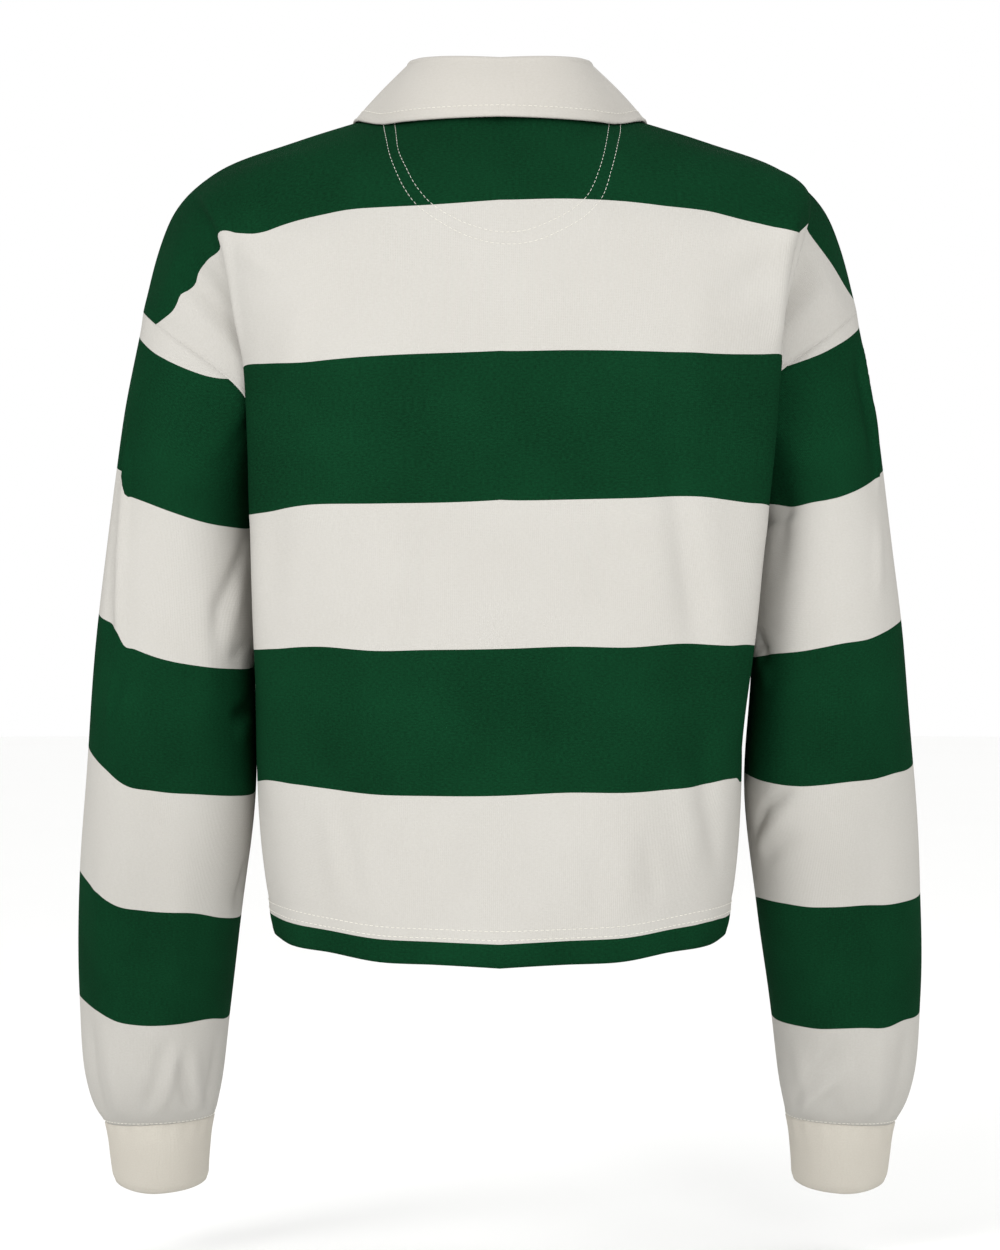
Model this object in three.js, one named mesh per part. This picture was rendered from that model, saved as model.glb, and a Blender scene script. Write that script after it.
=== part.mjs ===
// Rugby shirt: a cropped, drop-shoulder shirt in wide-striped cotton jersey, filled out as it is when worn.
// Millimetres, +Z up, +Y out of the back, +X towards the shirt's left side. The origin is the middle of the
// neck opening, level with the two high points of the shoulders, where the wearer's shoulders carry the shirt.
import * as THREE from "three";

// Cloth thicknesses.
const JERSEY = 1.6;
const COLLAR_CLOTH = 1.8;
const CUFF_KNIT = 2.2;
const PLACKET_CLOTH = 1.4;
// Space between two pieces at a seam, and between a piece and the panel that it lies on.
const SEAM_GAP = 0.3;
const LIE_GAP = 0.3;

// Lengths along the courses of the knit, measured down the body from the level of the high shoulder points.
const FIRST_STRIPE = 61.5; // the first change of colour below the neck
const UNDERARM = 235;
const HEM = 502.5;
const HEM_TURN_UP = 24;
const HEM_TURN_UP_CLOTH = 1.2; // the extra layer inside the turned-up hem

// Named stations along a course, from the centre line of a panel out to its armhole or side seam.
const STATIONS = { centre: 0, nape: 0.16, neck: 0.29, blade: 0.45, fold: 0.655, hollow: 0.75, arm: 0.88, seam: 1 };

// Top edge of both body panels beyond the neck: the shoulder seam, as x, y, z.
const SHOULDER_SEAM = {
  neck: [72, 0, 0.5],
  blade: [124, -2, -15.2],
  fold: [172.5, -4, -34.5],
  hollow: [189.5, -5, -49],
  arm: [203, -5, -75],
  seam: [213.2, -3, -116.5],
};
// The course that each station of the shoulder seam lies on.
const SHOULDER_COURSE = { neck: -26, blade: -13, fold: 0, hollow: 6.5, arm: 15.5, seam: 50 };

// Each section follows one course of the knit from the centre line out. A station is x, y and the rise above
// the level of the course. On the right side the soft fold beside the armhole lies further out, by `spread`,
// and a little higher, by `lift`.
const BACK_TOP = {
  corner: true,
  course: { centre: -12.5, nape: -18, ...SHOULDER_COURSE },
  centre: [0, 50, 2], nape: [44, 37, 3], ...SHOULDER_SEAM,
};
const BACK_YOKE = {
  spread: 10, lift: 2, centre: [0, 71, -24], nape: [42, 66, -23], neck: [74, 46, -18], blade: [121, 44, -29],
  fold: [171, 36, -49], hollow: [184, 28, -65], arm: [199, 18, -93], seam: [210.5, 8, -119.5],
};
const BACK_SECTIONS = [
  { course: 61.5, spread: 16, lift: 4.5, centre: [0, 88, 2], nape: [42, 88, 0], neck: [79, 87, -3.4],
    blade: [122, 83, -12.2], fold: [162.5, 63, -14.7], hollow: [176, 37, -30.5], arm: [192, 32, -47.5],
    seam: [204.8, 18, -63.3] },
  { course: 105, spread: 14, lift: 4.5, centre: [0, 98, 0.5], nape: [42, 98, -1], neck: [78, 97, -3.5],
    blade: [118, 90, -9], fold: [155.5, 57, -10.5], hollow: [151, 39, -23], arm: [152.5, 42, -44],
    seam: [154, 43, -60] },
  { course: 147, spread: 14, lift: 4.5, centre: [0, 102, -0.6], nape: [41, 102, -2], neck: [76, 100, -3.8],
    blade: [114, 92, -6.7], fold: [150, 54, -6.8], hollow: [143, 41, -15], arm: [143, 38, -27],
    seam: [149.5, 34, -39] },
  { course: 190, spread: 13, lift: 4.5, centre: [0, 103, -0.6], nape: [40, 103, -2], neck: [75, 101, -3.2],
    blade: [111, 93, -5], fold: [147.3, 55, -7], hollow: [141.5, 40, -10], arm: [141, 29, -15],
    seam: [147.5, 18, -20] },
  { course: 235, spread: 11, lift: 4, centre: [0, 102, -0.6], nape: [40, 102, -2.1], neck: [74, 101, -2.8],
    blade: [109, 93, -3.2], fold: [145, 58, -7], hollow: [144, 38, -5], arm: [141, 14, -3], seam: [144, -2, 0] },
  { course: 241, spread: 11, lift: 4, centre: [0, 102, -0.6], nape: [40, 102, -2], neck: [73.5, 101, -2.8],
    blade: [108.5, 93, -3], fold: [144.5, 59, -6.5], hollow: [144, 39, -4.5], arm: [141, 15, -2], seam: [143, -2, 2] },
  { course: 255, spread: 10, lift: 3, centre: [0, 101, -0.6], nape: [39.5, 101, -1.8], neck: [73, 100, -2.6],
    blade: [107, 92, -2.4], fold: [143.8, 60, -5.5], hollow: [144, 40, -4], arm: [141, 16, -1], seam: [141.5, -2, 0] },
  { course: 318, spread: 6, lift: 1, centre: [0, 100, -0.5], nape: [39, 100, -0.9], neck: [71, 99, -1.7],
    blade: [104, 90, 0.5], fold: [141.5, 60, -0.5], hollow: [143.3, 41, -0.5], arm: [141.5, 17, 0],
    seam: [140.5, -2, 0] },
  { course: 403.5, spread: 1, lift: -1, centre: [0, 101, 0.7], nape: [38, 100, 0.7], neck: [70, 98, 1.1],
    blade: [101, 88, 4.3], fold: [135, 60, 8.7], hollow: [141.3, 40, 7.3], arm: [143.2, 17, 6.4],
    seam: [142.8, -2, 5.7] },
  { course: 460, spread: 0, lift: 0, centre: [0, 102, 1], nape: [38, 99, 1.6], neck: [69.5, 94, 3],
    blade: [99, 82, 6.5], fold: [129, 57, 11.5], hollow: [137, 37, 11.5], arm: [139.5, 15, 11.5],
    seam: [139.3, -2, 11.5] },
  { course: 502.5, spread: 0, lift: 0, centre: [0, 102, 1.6], nape: [37, 98, 3.4], neck: [68, 90, 4],
    blade: [97, 76, 8.3], fold: [123, 53, 11.3], hollow: [131, 33, 14.4], arm: [134.2, 13, 15.7],
    seam: [135.2, -2, 16.5] },
];
const FRONT_TOP = {
  corner: true,
  course: { centre: 44, nape: 22, ...SHOULDER_COURSE },
  centre: [0, -74, -56], nape: [43, -56, -38], ...SHOULDER_SEAM,
};
const FRONT_YOKE = {
  centre: [0, -80, -63], nape: [43, -71, -52], neck: [72, -46, -27], blade: [121, -46, -31],
  fold: [169, -42, -50], hollow: [184, -34, -65], arm: [198, -24, -93], seam: [210, -13, -119.5],
};
const FRONT_SECTIONS = [
  { course: 61.5, centre: [0, -86, -9], nape: [42, -84, -8], neck: [78, -80, -9],
    blade: [120, -78, -14], fold: [160, -65, -17], hollow: [174, -45, -31], arm: [190, -39, -48],
    seam: [204, -24, -64] },
  { course: 105, centre: [0, -101, -3], nape: [42, -101, -3], neck: [78, -99, -4],
    blade: [117, -93, -7], fold: [153, -66, -11], hollow: [149, -48, -23], arm: [150, -48, -44],
    seam: [153.5, -46, -60] },
  { course: 147, centre: [0, -112, 0], nape: [41, -112, 0], neck: [76, -110, -1],
    blade: [112, -101, -3], fold: [147, -67, -7], hollow: [140, -55, -15], arm: [140, -49, -27],
    seam: [148.5, -39, -39] },
  { course: 190, centre: [0, -119, 1], nape: [40, -119, 1], neck: [75, -117, 0],
    blade: [109, -106, -2], fold: [144, -70, -6], hollow: [140, -53, -10], arm: [140, -37, -15],
    seam: [147.5, -23, -20] },
  { course: 235, centre: [0, -122, 2], nape: [40, -122, 2], neck: [73, -119, 1],
    blade: [106, -108, 0], fold: [142, -74, -2], hollow: [143, -49, -3], arm: [140.5, -20, -2], seam: [144, -2, 0] },
  { course: 241, centre: [0, -122, 2], nape: [40, -122, 2], neck: [73, -119, 1],
    blade: [106, -108, 0], fold: [141.5, -74, -2], hollow: [143, -50, -3], arm: [140.5, -21, -1], seam: [143, -2, 2] },
  { course: 255, centre: [0, -122, 2], nape: [39, -122, 2], neck: [72, -119, 1],
    blade: [105, -108, 1], fold: [140, -76, -1], hollow: [143, -50, -1], arm: [141, -22, -1], seam: [141.5, -2, 0] },
  { course: 318, centre: [0, -120, 3], nape: [39, -120, 3], neck: [71, -116, 3],
    blade: [103, -104, 2], fold: [136, -74, 1], hollow: [142, -47, 0], arm: [141, -22, 0], seam: [140.5, -2, 0] },
  { course: 403.5, centre: [0, -117, 4], nape: [38, -116, 4], neck: [70, -112, 4],
    blade: [100, -99, 5], fold: [132, -68, 6], hollow: [140.5, -43, 6], arm: [143, -20, 6], seam: [142.8, -2, 5.7] },
  { course: 460, centre: [0, -115, 6], nape: [38, -113, 6], neck: [69, -107, 7],
    blade: [98, -92, 8], fold: [127, -63, 10], hollow: [136, -40, 11], arm: [139.5, -18, 11.5],
    seam: [139.3, -2, 11.5] },
  { course: 502.5, centre: [0, -114, 8], nape: [37, -110, 9], neck: [68, -101, 10],
    blade: [97, -84, 12], fold: [122, -60, 14], hollow: [130.5, -37, 15], arm: [134.2, -17, 16], seam: [135.2, -2, 16.5] },
];
const YOKE_SHARE = 0.4; // how far the yoke section lies from the top edge towards the first stripe

// Sleeve sections: each course runs round the arm through an outer and an inner point. `length` is measured
// down the sleeve from the shoulder tip, `middle` and `deep` place it in y, and `pitch` tips its back down.
const CAP_HEIGHT = 90; // how much shorter the underarm seam is than the sleeve's outer line
// `rightInner` is how much further out the inner point lies on the right, to clear the body's wider fold there.
const SLEEVE_CAP = { reach: 0.5, outer: [222.4, -166], inner: [150, -241], middle: 0, deep: 46, pitch: 5, rightInner: 8 };
const SLEEVE_SECTIONS = [
  { length: 102.5, outer: [229.7, -216], inner: [148.8, -245], middle: 0, deep: 46, pitch: 9, rightInner: 8 },
  { length: 188, outer: [239.8, -298], inner: [147.6, -327], middle: 0, deep: 46, pitch: 12, rightInner: 3.5 },
  { length: 273.5, outer: [247.5, -378], inner: [147.6, -402], middle: -10, deep: 45, pitch: 12 },
  { length: 359, outer: [256.4, -458], inner: [157.8, -478], middle: -42, deep: 43, pitch: 6 },
  { length: 444.5, outer: [260.2, -536], inner: [168.6, -546], middle: -82, deep: 40, pitch: 9 },
  { length: 490, outer: [258, -586], inner: [175, -589], middle: -102, deep: 37, pitch: 9 },
  { length: 514, outer: [253.2, -606], inner: [179.2, -606], middle: -112, deep: 32.5, pitch: 5 },
  { length: 530, outer: [247.5, -617], inner: [181.2, -612.5], middle: -119, deep: 28, pitch: 2 },
];
const SLEEVE_ROUNDNESS = 2.15; // exponent of the section, 2 for an ellipse
const CUFF_SECTIONS = [
  { length: 0, outer: [247.5, -617], inner: [181.2, -612.5], middle: -119, deep: 28, pitch: 2 },
  { length: 8, outer: [246.4, -624], inner: [183, -622], middle: -122, deep: 27.5, pitch: 5 },
  { length: 26, outer: [245.2, -639], inner: [185, -637.5], middle: -130, deep: 27, pitch: 9 },
  { length: 50, outer: [244.2, -660], inner: [186.8, -656], middle: -141, deep: 26.5, pitch: 12 },
];

// Collar: a stand that rises from the neck seam to the fold line, and a fall that comes down outside it.
// `turn` is 0 at the centre back, 0.5 at the shoulder seam and 1 at the centre front.
const COLLAR_SECTIONS = [
  { turn: 0, fold: [0, 48, 28.6], edge: [0, 66, -7.2] },
  { turn: 0.25, fold: [38, 38, 30.5], edge: [55, 48, -5.4] },
  { turn: 0.38, fold: [49, 22, 31.5], edge: [74, 27, -5] },
  { turn: 0.5, fold: [53, 2, 31.5], edge: [86, 3, -0.6] },
  { turn: 0.75, fold: [46, -46, 0], edge: [86, -66, -36] },
  { turn: 0.9, fold: [24, -74, -27], edge: [70, -92, -66] },
  { turn: 1, fold: [4, -86, -39], edge: [50, -104, -88] },
];
const COLLAR_ROLL = 2.4; // half the width of the roll along the fold line
const STAND_GAP = 0.6; // clearance of the stand's foot above the neck seam
const COLLAR_FRONT_GAP = 1.6; // how far each front end of the collar stays from the centre line
const COLLAR_BELLY = 1.2; // how far the fall swells out between the fold line and its edge

// Placket: a strip outside the front and one inside it, over a slit. They take the front's own rows and columns.
const SLIT_STATION = 0.03; // half the width of the slit
const SLIT_END = 190;
const PLACKET_STATION = 0.0625; // half the width of the strips
const PLACKET_END = 200;
const BUTTON_COURSES = [72, 118, 164];
const BUTTON = { radius: 7, height: 2.4, rim: 0.7, dish: 0.6, sides: 20 };

// Where the walls have their vertices.
const BACK_COLUMNS = [0, 0.08, 0.16, 0.225, 0.29, 0.37, 0.45, 0.53, 0.6, 0.655, 0.7, 0.75, 0.81, 0.88, 0.94, 1];
const FRONT_COLUMNS = [0, 0.03, 0.0625, 0.11, 0.16, 0.225, 0.29, 0.37, 0.45, 0.53, 0.6, 0.655, 0.7, 0.75, 0.81, 0.88, 0.94, 1];
const SHOULDER_ROWS = [0, 0.2, 0.45, 0.72]; // shares of the way from the top edge to the first stripe
const BODY_ROWS = [61.5, 74, 89, 105, 120, 133, 147, 168, 190, 200, 217, 235, 241, 255, 282, 318, 348, 378, 403.5, 432,
  460, 478.5, 490, 502.5];
const SLEEVE_CAP_ROWS = [0, 0.06, 0.2, 0.4, 0.6, 0.8]; // shares of the way from the armhole to the first full course
const SLEEVE_ROWS = [102.5, 145, 188, 232, 273.5, 316, 359, 403, 444.5, 470, 490, 504, 518, 530];
const CUFF_ROWS = [0, 4, 10, 28, 50];

const CREAM = new THREE.MeshStandardMaterial({ color: 0xdedad0, roughness: 0.9, metalness: 0 });
const GREEN = new THREE.MeshStandardMaterial({ color: 0x0f4526, roughness: 0.9, metalness: 0 });
const COLLAR_TWILL = new THREE.MeshStandardMaterial({ color: 0xe0dcd3, roughness: 0.85, metalness: 0 });
const BUTTON_RUBBER = new THREE.MeshStandardMaterial({ color: 0xe6e2d8, roughness: 0.5, metalness: 0 });

/** Value at x of a smooth curve through the points (xs, ys), whose slopes come from neighbouring chords. */
function through(xs, ys, x) {
  const last = xs.length - 1;
  let k = 0;
  while (k < last - 1 && x > xs[k + 1]) k += 1;
  const chord = (i) => (ys[i + 1] - ys[i]) / (xs[i + 1] - xs[i]);
  const slope = (i) => {
    if (last === 1) return chord(0);
    if (i === 0) return chord(0) + (chord(0) - chord(1)) * (xs[1] - xs[0]) / (xs[2] - xs[0]);
    if (i === last) {
      const share = (xs[last] - xs[last - 1]) / (xs[last] - xs[last - 2]);
      return chord(last - 1) + (chord(last - 1) - chord(last - 2)) * share;
    }
    const before = xs[i] - xs[i - 1];
    const after = xs[i + 1] - xs[i];
    return (chord(i - 1) * after + chord(i) * before) / (before + after);
  };
  const step = xs[k + 1] - xs[k];
  const t = (x - xs[k]) / step;
  const t2 = t * t;
  const t3 = t2 * t;
  return (2 * t3 - 3 * t2 + 1) * ys[k] + (t3 - 2 * t2 + t) * step * slope(k)
    + (3 * t2 - 2 * t3) * ys[k + 1] + (t3 - t2) * step * slope(k + 1);
}

/** The same curve through vectors. */
function pointThrough(xs, points, x) {
  return new THREE.Vector3(...["x", "y", "z"].map((axis) => through(xs, points.map((p) => p[axis]), x)));
}

const STATION_NAMES = Object.keys(STATIONS);
const STATION_VALUES = Object.values(STATIONS);
// How much of a section's right spread and lift each station takes.
const SPREAD_SHARE = { blade: 0.3, fold: 1, hollow: -0.2 };
const SPREAD_BACKWARD = 0.25; // and how far the fold rises off the sleeve behind it, for each mm of spread
const LIFT_SHARE = { neck: 0.4, blade: 1, fold: 0.7, hollow: 0.2 };

const NECK_STATION = STATION_NAMES.indexOf("neck");

/** The stations and values that a curve along a course runs through; a top edge has a corner at the neck. */
function stretch(values, station, corner) {
  if (!corner) return [STATION_VALUES, values];
  const range = station > STATIONS.neck ? [NECK_STATION] : [0, NECK_STATION + 1];
  return [STATION_VALUES.slice(...range), values.slice(...range)];
}

/** A section's point at a station between 0 and 1, on the left side (side 1) or the right one (side -1). */
function sectionPoint(section, level, station, side) {
  const { spread = 0, lift = 0 } = side < 0 ? section : {};
  const points = STATION_NAMES.map((name) => {
    const [x, y, rise] = section[name];
    return new THREE.Vector3(
      x + spread * (SPREAD_SHARE[name] || 0),
      y + (name === "fold" ? spread * SPREAD_BACKWARD : 0),
      rise + lift * (LIFT_SHARE[name] || 0) - level,
    );
  });
  return pointThrough(...stretch(points, station, section.corner), station);
}

/** A body panel: its shape at any station, course and side. */
class Panel {
  constructor(top, yoke, sections) {
    this.top = top;
    this.yoke = yoke;
    this.sections = sections;
  }

  /** Course of the panel's top edge at a station. */
  topCourse(station) {
    return through(...stretch(STATION_NAMES.map((name) => this.top.course[name]), station, true), station);
  }

  /** Point of the middle of the cloth. */
  at(station, course, side) {
    const top = this.topCourse(station);
    const courses = [top, top + (FIRST_STRIPE - top) * YOKE_SHARE, ...this.sections.map((s) => s.course)];
    const points = [
      sectionPoint(this.top, 0, station, side),
      sectionPoint(this.yoke, 0, station, side),
      ...this.sections.map((s) => sectionPoint(s, s.course, station, side)),
    ];
    const point = pointThrough(courses, points, course);
    point.x *= side;
    return point;
  }

  /** Course of a row: a share of the shoulder part, or a course of the body part. */
  rowCourse(row, station) {
    const top = this.topCourse(station);
    return row < SHOULDER_ROWS.length
      ? top + (FIRST_STRIPE - top) * SHOULDER_ROWS[row]
      : BODY_ROWS[row - SHOULDER_ROWS.length];
  }

  /** Rows of points from the right seam to the left one. */
  grid(columns) {
    const rowCount = SHOULDER_ROWS.length + BODY_ROWS.length;
    const stations = [...columns.slice(1).reverse().map((s) => [s, -1]), ...columns.map((s) => [s, 1])];
    return Array.from({ length: rowCount }, (_, row) =>
      stations.map(([station, side]) => this.at(station, this.rowCourse(row, station), side)));
  }
}

/** A point of a sleeve or cuff section; round is 0 at the outer point and goes round by the back. */
function roundPoint(section, round, side) {
  const [outerX, outerZ] = section.outer;
  const [inner, innerZ] = section.inner;
  const innerX = inner + (side < 0 ? section.rightInner || 0 : 0);
  const bend = (v) => Math.sign(v) * Math.abs(v) ** (2 / SLEEVE_ROUNDNESS);
  const out = bend(Math.cos(round));
  const back = bend(Math.sin(round)) * section.deep;
  const pitch = THREE.MathUtils.degToRad(section.pitch);
  return new THREE.Vector3(
    side * ((outerX + innerX) / 2 + out * (outerX - innerX) / 2),
    section.middle + back * Math.cos(pitch),
    (outerZ + innerZ) / 2 + out * (outerZ - innerZ) / 2 - back * Math.sin(pitch),
  );
}

/** Angles round the arm for the points of an armhole, by distance along it: half a turn each for back and front. */
function roundAngles(armhole, underarmIndex) {
  const along = [0];
  for (let i = 1; i <= armhole.length; i += 1) {
    along.push(along[i - 1] + armhole[i % armhole.length].distanceTo(armhole[i - 1]));
  }
  const half = along[underarmIndex];
  const whole = along[armhole.length];
  return armhole.map((_, i) => (i <= underarmIndex
    ? Math.PI * along[i] / half
    : Math.PI * (1 + (along[i] - half) / (whole - half))));
}

/** Course that the armhole seam lies on, from 0 at the shoulder tip to the cap height under the arm. */
function capCourse(round) {
  return CAP_HEIGHT * ((1 - Math.cos(round)) / 2) ** 2.4;
}

/** Rows of points of a sleeve, from the armhole to the cuff seam; each row goes round once. */
function sleeveGrid(armhole, angles, side) {
  const first = SLEEVE_SECTIONS[0].length;
  const column = (i) => {
    const cap = capCourse(angles[i]);
    const lengths = [cap, cap + (first - cap) * SLEEVE_CAP.reach, ...SLEEVE_SECTIONS.map((s) => s.length)];
    const points = [armhole[i], roundPoint(SLEEVE_CAP, angles[i], side),
      ...SLEEVE_SECTIONS.map((s) => roundPoint(s, angles[i], side))];
    const rows = [...SLEEVE_CAP_ROWS.map((share) => cap + (first - cap) * share), ...SLEEVE_ROWS];
    return rows.map((length) => pointThrough(lengths, points, length));
  };
  const columns = armhole.map((_, i) => column(i));
  return columns[0].map((_, row) => columns.map((c) => c[row]));
}

function cuffGrid(angles, side) {
  const lengths = CUFF_SECTIONS.map((s) => s.length);
  return CUFF_ROWS.map((length) =>
    angles.map((round) => pointThrough(lengths, CUFF_SECTIONS.map((s) => roundPoint(s, round, side)), length)));
}

/** Moves a point out until it clears the body panels by the given distance. */
function clearOfBody(point, clearance) {
  let nearest = null;
  for (const sample of bodySamples) {
    const gap = sample.point.distanceToSquared(point);
    if (!nearest || gap < nearest.gap) nearest = { gap, sample };
  }
  const { normal, point: surface } = nearest.sample;
  const height = point.clone().sub(surface).dot(normal);
  return height < clearance ? point.clone().addScaledVector(normal, clearance - height) : point;
}

/** How far up the stand its foot starts, so that it just clears the edge of the panel below the seam. */
function standLift(rise, down, normal) {
  const side = new THREE.Vector3().crossVectors(rise, new THREE.Vector3().crossVectors(down, rise)).normalize();
  const clears = (lift, half) => {
    const corner = rise.clone().multiplyScalar(lift).addScaledVector(side, half);
    return Math.max(-corner.dot(down), Math.abs(corner.dot(normal)) - JERSEY / 2) > STAND_GAP;
  };
  let lift = STAND_GAP;
  while (lift < 3 && !(clears(lift, COLLAR_CLOTH / 2) && clears(lift, -COLLAR_CLOTH / 2))) lift += 0.05;
  return lift;
}

/** Profile of the collar above one point of the neck seam: up the stand, over the roll and down the fall. */
function collarProfile(base, down, normal, turn, side) {
  const turns = COLLAR_SECTIONS.map((s) => s.turn);
  const at = (name) => {
    const point = pointThrough(turns, COLLAR_SECTIONS.map((s) => new THREE.Vector3(...s[name])), turn);
    point.x *= side;
    return point;
  };
  const fold = at("fold");
  const edge = at("edge");
  const out = edge.clone().sub(fold).setZ(0).normalize().multiplyScalar(COLLAR_ROLL);
  const drop = new THREE.Vector3(0, 0, -COLLAR_ROLL);
  const standTop = fold.clone().sub(out).add(drop);
  const fallTop = fold.clone().add(out).add(drop);
  const rise = standTop.clone().sub(base).normalize();
  const foot = base.clone().addScaledVector(rise, standLift(rise, down, normal));
  const clearance = (JERSEY + COLLAR_CLOTH) / 2 + LIE_GAP;
  const fall = (share) => clearOfBody(fallTop.clone().lerp(edge, share)
    .addScaledVector(out.clone().normalize().setZ(0.6).normalize(), COLLAR_BELLY * Math.sin(Math.PI * share)), clearance);
  return [foot, foot.clone().lerp(standTop, 0.5), standTop, fold, fallTop, fall(0.25), fall(0.6), fall(1)];
}

/** Unit normals of a grid of points. Rows may close on themselves. */
function gridNormals(grid, closed) {
  const rows = grid.length;
  const columns = grid[0].length;
  const pick = (r, c) => grid[Math.min(Math.max(r, 0), rows - 1)][
    closed ? (c + columns) % columns : Math.min(Math.max(c, 0), columns - 1)];
  return grid.map((row, r) => row.map((_, c) => {
    const down = pick(r + 1, c).clone().sub(pick(r - 1, c)).normalize();
    const along = pick(r, c + 1).clone().sub(pick(r, c - 1)).normalize();
    return new THREE.Vector3().crossVectors(along, down).normalize();
  }));
}

/** A piece of cloth before it is given its thickness. */
class Cloth {
  constructor(name, grid, { thickness, material, closed = false, flip = false, hole = () => false, extra = () => 0 }) {
    Object.assign(this, { name, grid, thickness, material, closed, hole, extra });
    this.normals = gridNormals(grid, closed);
    if (flip) this.normals.forEach((row) => row.forEach((n) => n.negate()));
    this.flip = flip;
    this.drawn = new Map();
  }

  /** Every point on the cloth's outer edge, as [row, column]. */
  edgePoints() {
    const rows = this.grid.length;
    const columns = this.grid[0].length;
    const found = [];
    for (let r = 0; r < rows; r += 1) {
      for (let c = 0; c < columns; c += 1) {
        if (r === 0 || r === rows - 1 || (!this.closed && (c === 0 || c === columns - 1))) found.push([r, c]);
      }
    }
    return found;
  }

  /** Draws each edge point in by half the seam gap, and further where the seam lies in a crevice. */
  drawIn() {
    const rows = this.grid.length;
    const columns = this.grid[0].length;
    const moved = this.edgePoints().map(([r, c]) => {
      const inward = new THREE.Vector3();
      const here = this.grid[r][c];
      const drawn = SEAM_GAP / 2 + (this.drawn.get(`${r},${c}`) || 0);
      const towards = (point) => {
        const step = point.clone().sub(here);
        inward.add(step.clone().setLength(Math.min(drawn, 0.6 * step.length())));
      };
      if (r === 0) towards(this.grid[1][c]);
      if (r === rows - 1) towards(this.grid[rows - 2][c]);
      if (!this.closed && c === 0) towards(this.grid[r][1]);
      if (!this.closed && c === columns - 1) towards(this.grid[r][columns - 2]);
      return [r, c, here.clone().add(inward)];
    });
    moved.forEach(([r, c, point]) => { this.grid[r][c] = point; });
  }

  /** The closed wall of the cloth. */
  mesh() {
    const rows = this.grid.length;
    const columns = this.grid[0].length;
    const positions = [];
    for (const [r, row] of this.grid.entries()) {
      for (const [c, point] of row.entries()) {
        const normal = this.normals[r][c];
        const outer = point.clone().addScaledVector(normal, this.thickness / 2);
        const inner = point.clone().addScaledVector(normal, -this.thickness / 2 - this.extra(r));
        positions.push(...outer.toArray(), ...inner.toArray());
      }
    }
    const index = [];
    const outerAt = (r, c) => 2 * (r * columns + (c % columns));
    const innerAt = (r, c) => outerAt(r, c) + 1;
    const spans = this.closed ? columns : columns - 1;
    const wrap = (c) => (this.closed ? (c + columns) % columns : c);
    const present = (r, c) => r >= 0 && r < rows - 1 && (this.closed || (c >= 0 && c < spans))
      && !this.hole(r, wrap(c));
    const quad = (a, b, c, d) => {
      if (this.flip) index.push(a, b, c, a, c, d);
      else index.push(a, c, b, a, d, c);
    };
    for (let r = 0; r < rows - 1; r += 1) {
      for (let c = 0; c < spans; c += 1) {
        if (!present(r, c)) continue;
        quad(outerAt(r, c), outerAt(r + 1, c), outerAt(r + 1, c + 1), outerAt(r, c + 1));
        quad(innerAt(r, c), innerAt(r, c + 1), innerAt(r + 1, c + 1), innerAt(r + 1, c));
        if (!present(r - 1, c)) quad(outerAt(r, c), outerAt(r, c + 1), innerAt(r, c + 1), innerAt(r, c));
        if (!present(r + 1, c)) {
          quad(outerAt(r + 1, c + 1), outerAt(r + 1, c), innerAt(r + 1, c), innerAt(r + 1, c + 1));
        }
        if (!present(r, c - 1)) quad(outerAt(r + 1, c), outerAt(r, c), innerAt(r, c), innerAt(r + 1, c));
        if (!present(r, c + 1)) {
          quad(outerAt(r, c + 1), outerAt(r + 1, c + 1), innerAt(r + 1, c + 1), innerAt(r, c + 1));
        }
      }
    }
    const geometry = new THREE.BufferGeometry();
    geometry.setAttribute("position", new THREE.Float32BufferAttribute(positions, 3));
    geometry.setIndex(index);
    const compact = geometry.toNonIndexed();
    compact.computeVertexNormals();
    const mesh = new THREE.Mesh(compact, this.material);
    mesh.name = this.name;
    return mesh;
  }
}

// Below this agreement of the normals the walls meet in a crevice, and their edges are drawn back instead.
const SHARPEST_MITRE = 0.7;

/** Gives pieces that meet at a seam the same normal there, so that their edges face each other. */
function shareSeamNormals(cloths) {
  const places = new Map();
  for (const cloth of cloths) {
    for (const [r, c] of cloth.edgePoints()) {
      const key = cloth.grid[r][c].toArray().map((v) => Math.round(v * 20)).join();
      if (!places.has(key)) places.set(key, []);
      places.get(key).push([cloth, r, c]);
    }
  }
  for (const meeting of places.values()) {
    const normal = new THREE.Vector3();
    meeting.forEach(([cloth, r, c]) => normal.add(cloth.normals[r][c]));
    normal.normalize();
    const lean = Math.min(...meeting.map(([cloth, r, c]) => cloth.normals[r][c].dot(normal)));
    if (lean < SHARPEST_MITRE) {
      const sharp = Math.max(lean, 0.1);
      const drawn = (JERSEY / 2 + 1.8 * SEAM_GAP) * Math.sqrt(1 - sharp * sharp) / sharp;
      meeting.forEach(([cloth, r, c]) => cloth.drawn.set(`${r},${c}`, drawn));
      continue;
    }
    meeting.forEach(([cloth, r, c]) => {
      const own = cloth.normals[r][c].dot(normal);
      cloth.normals[r][c] = normal.clone().divideScalar(own);
    });
  }
}

const back = new Panel(BACK_TOP, BACK_YOKE, BACK_SECTIONS);
const front = new Panel(FRONT_TOP, FRONT_YOKE, FRONT_SECTIONS);
const backGrid = back.grid(BACK_COLUMNS);
const frontGrid = front.grid(FRONT_COLUMNS);

const underarmRow = SHOULDER_ROWS.length + BODY_ROWS.indexOf(UNDERARM);

/** Points of an armhole, from the shoulder tip down the back and up the front. */
function armholePoints(side) {
  const column = side > 0 ? -1 : 0;
  return [
    ...backGrid.slice(0, underarmRow + 1).map((row) => row.at(column).clone()),
    ...frontGrid.slice(1, underarmRow).reverse().map((row) => row.at(column).clone()),
  ];
}

const angles = roundAngles(armholePoints(1), underarmRow);
const sleeve = (side) => sleeveGrid(armholePoints(side), angles, side);

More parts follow.
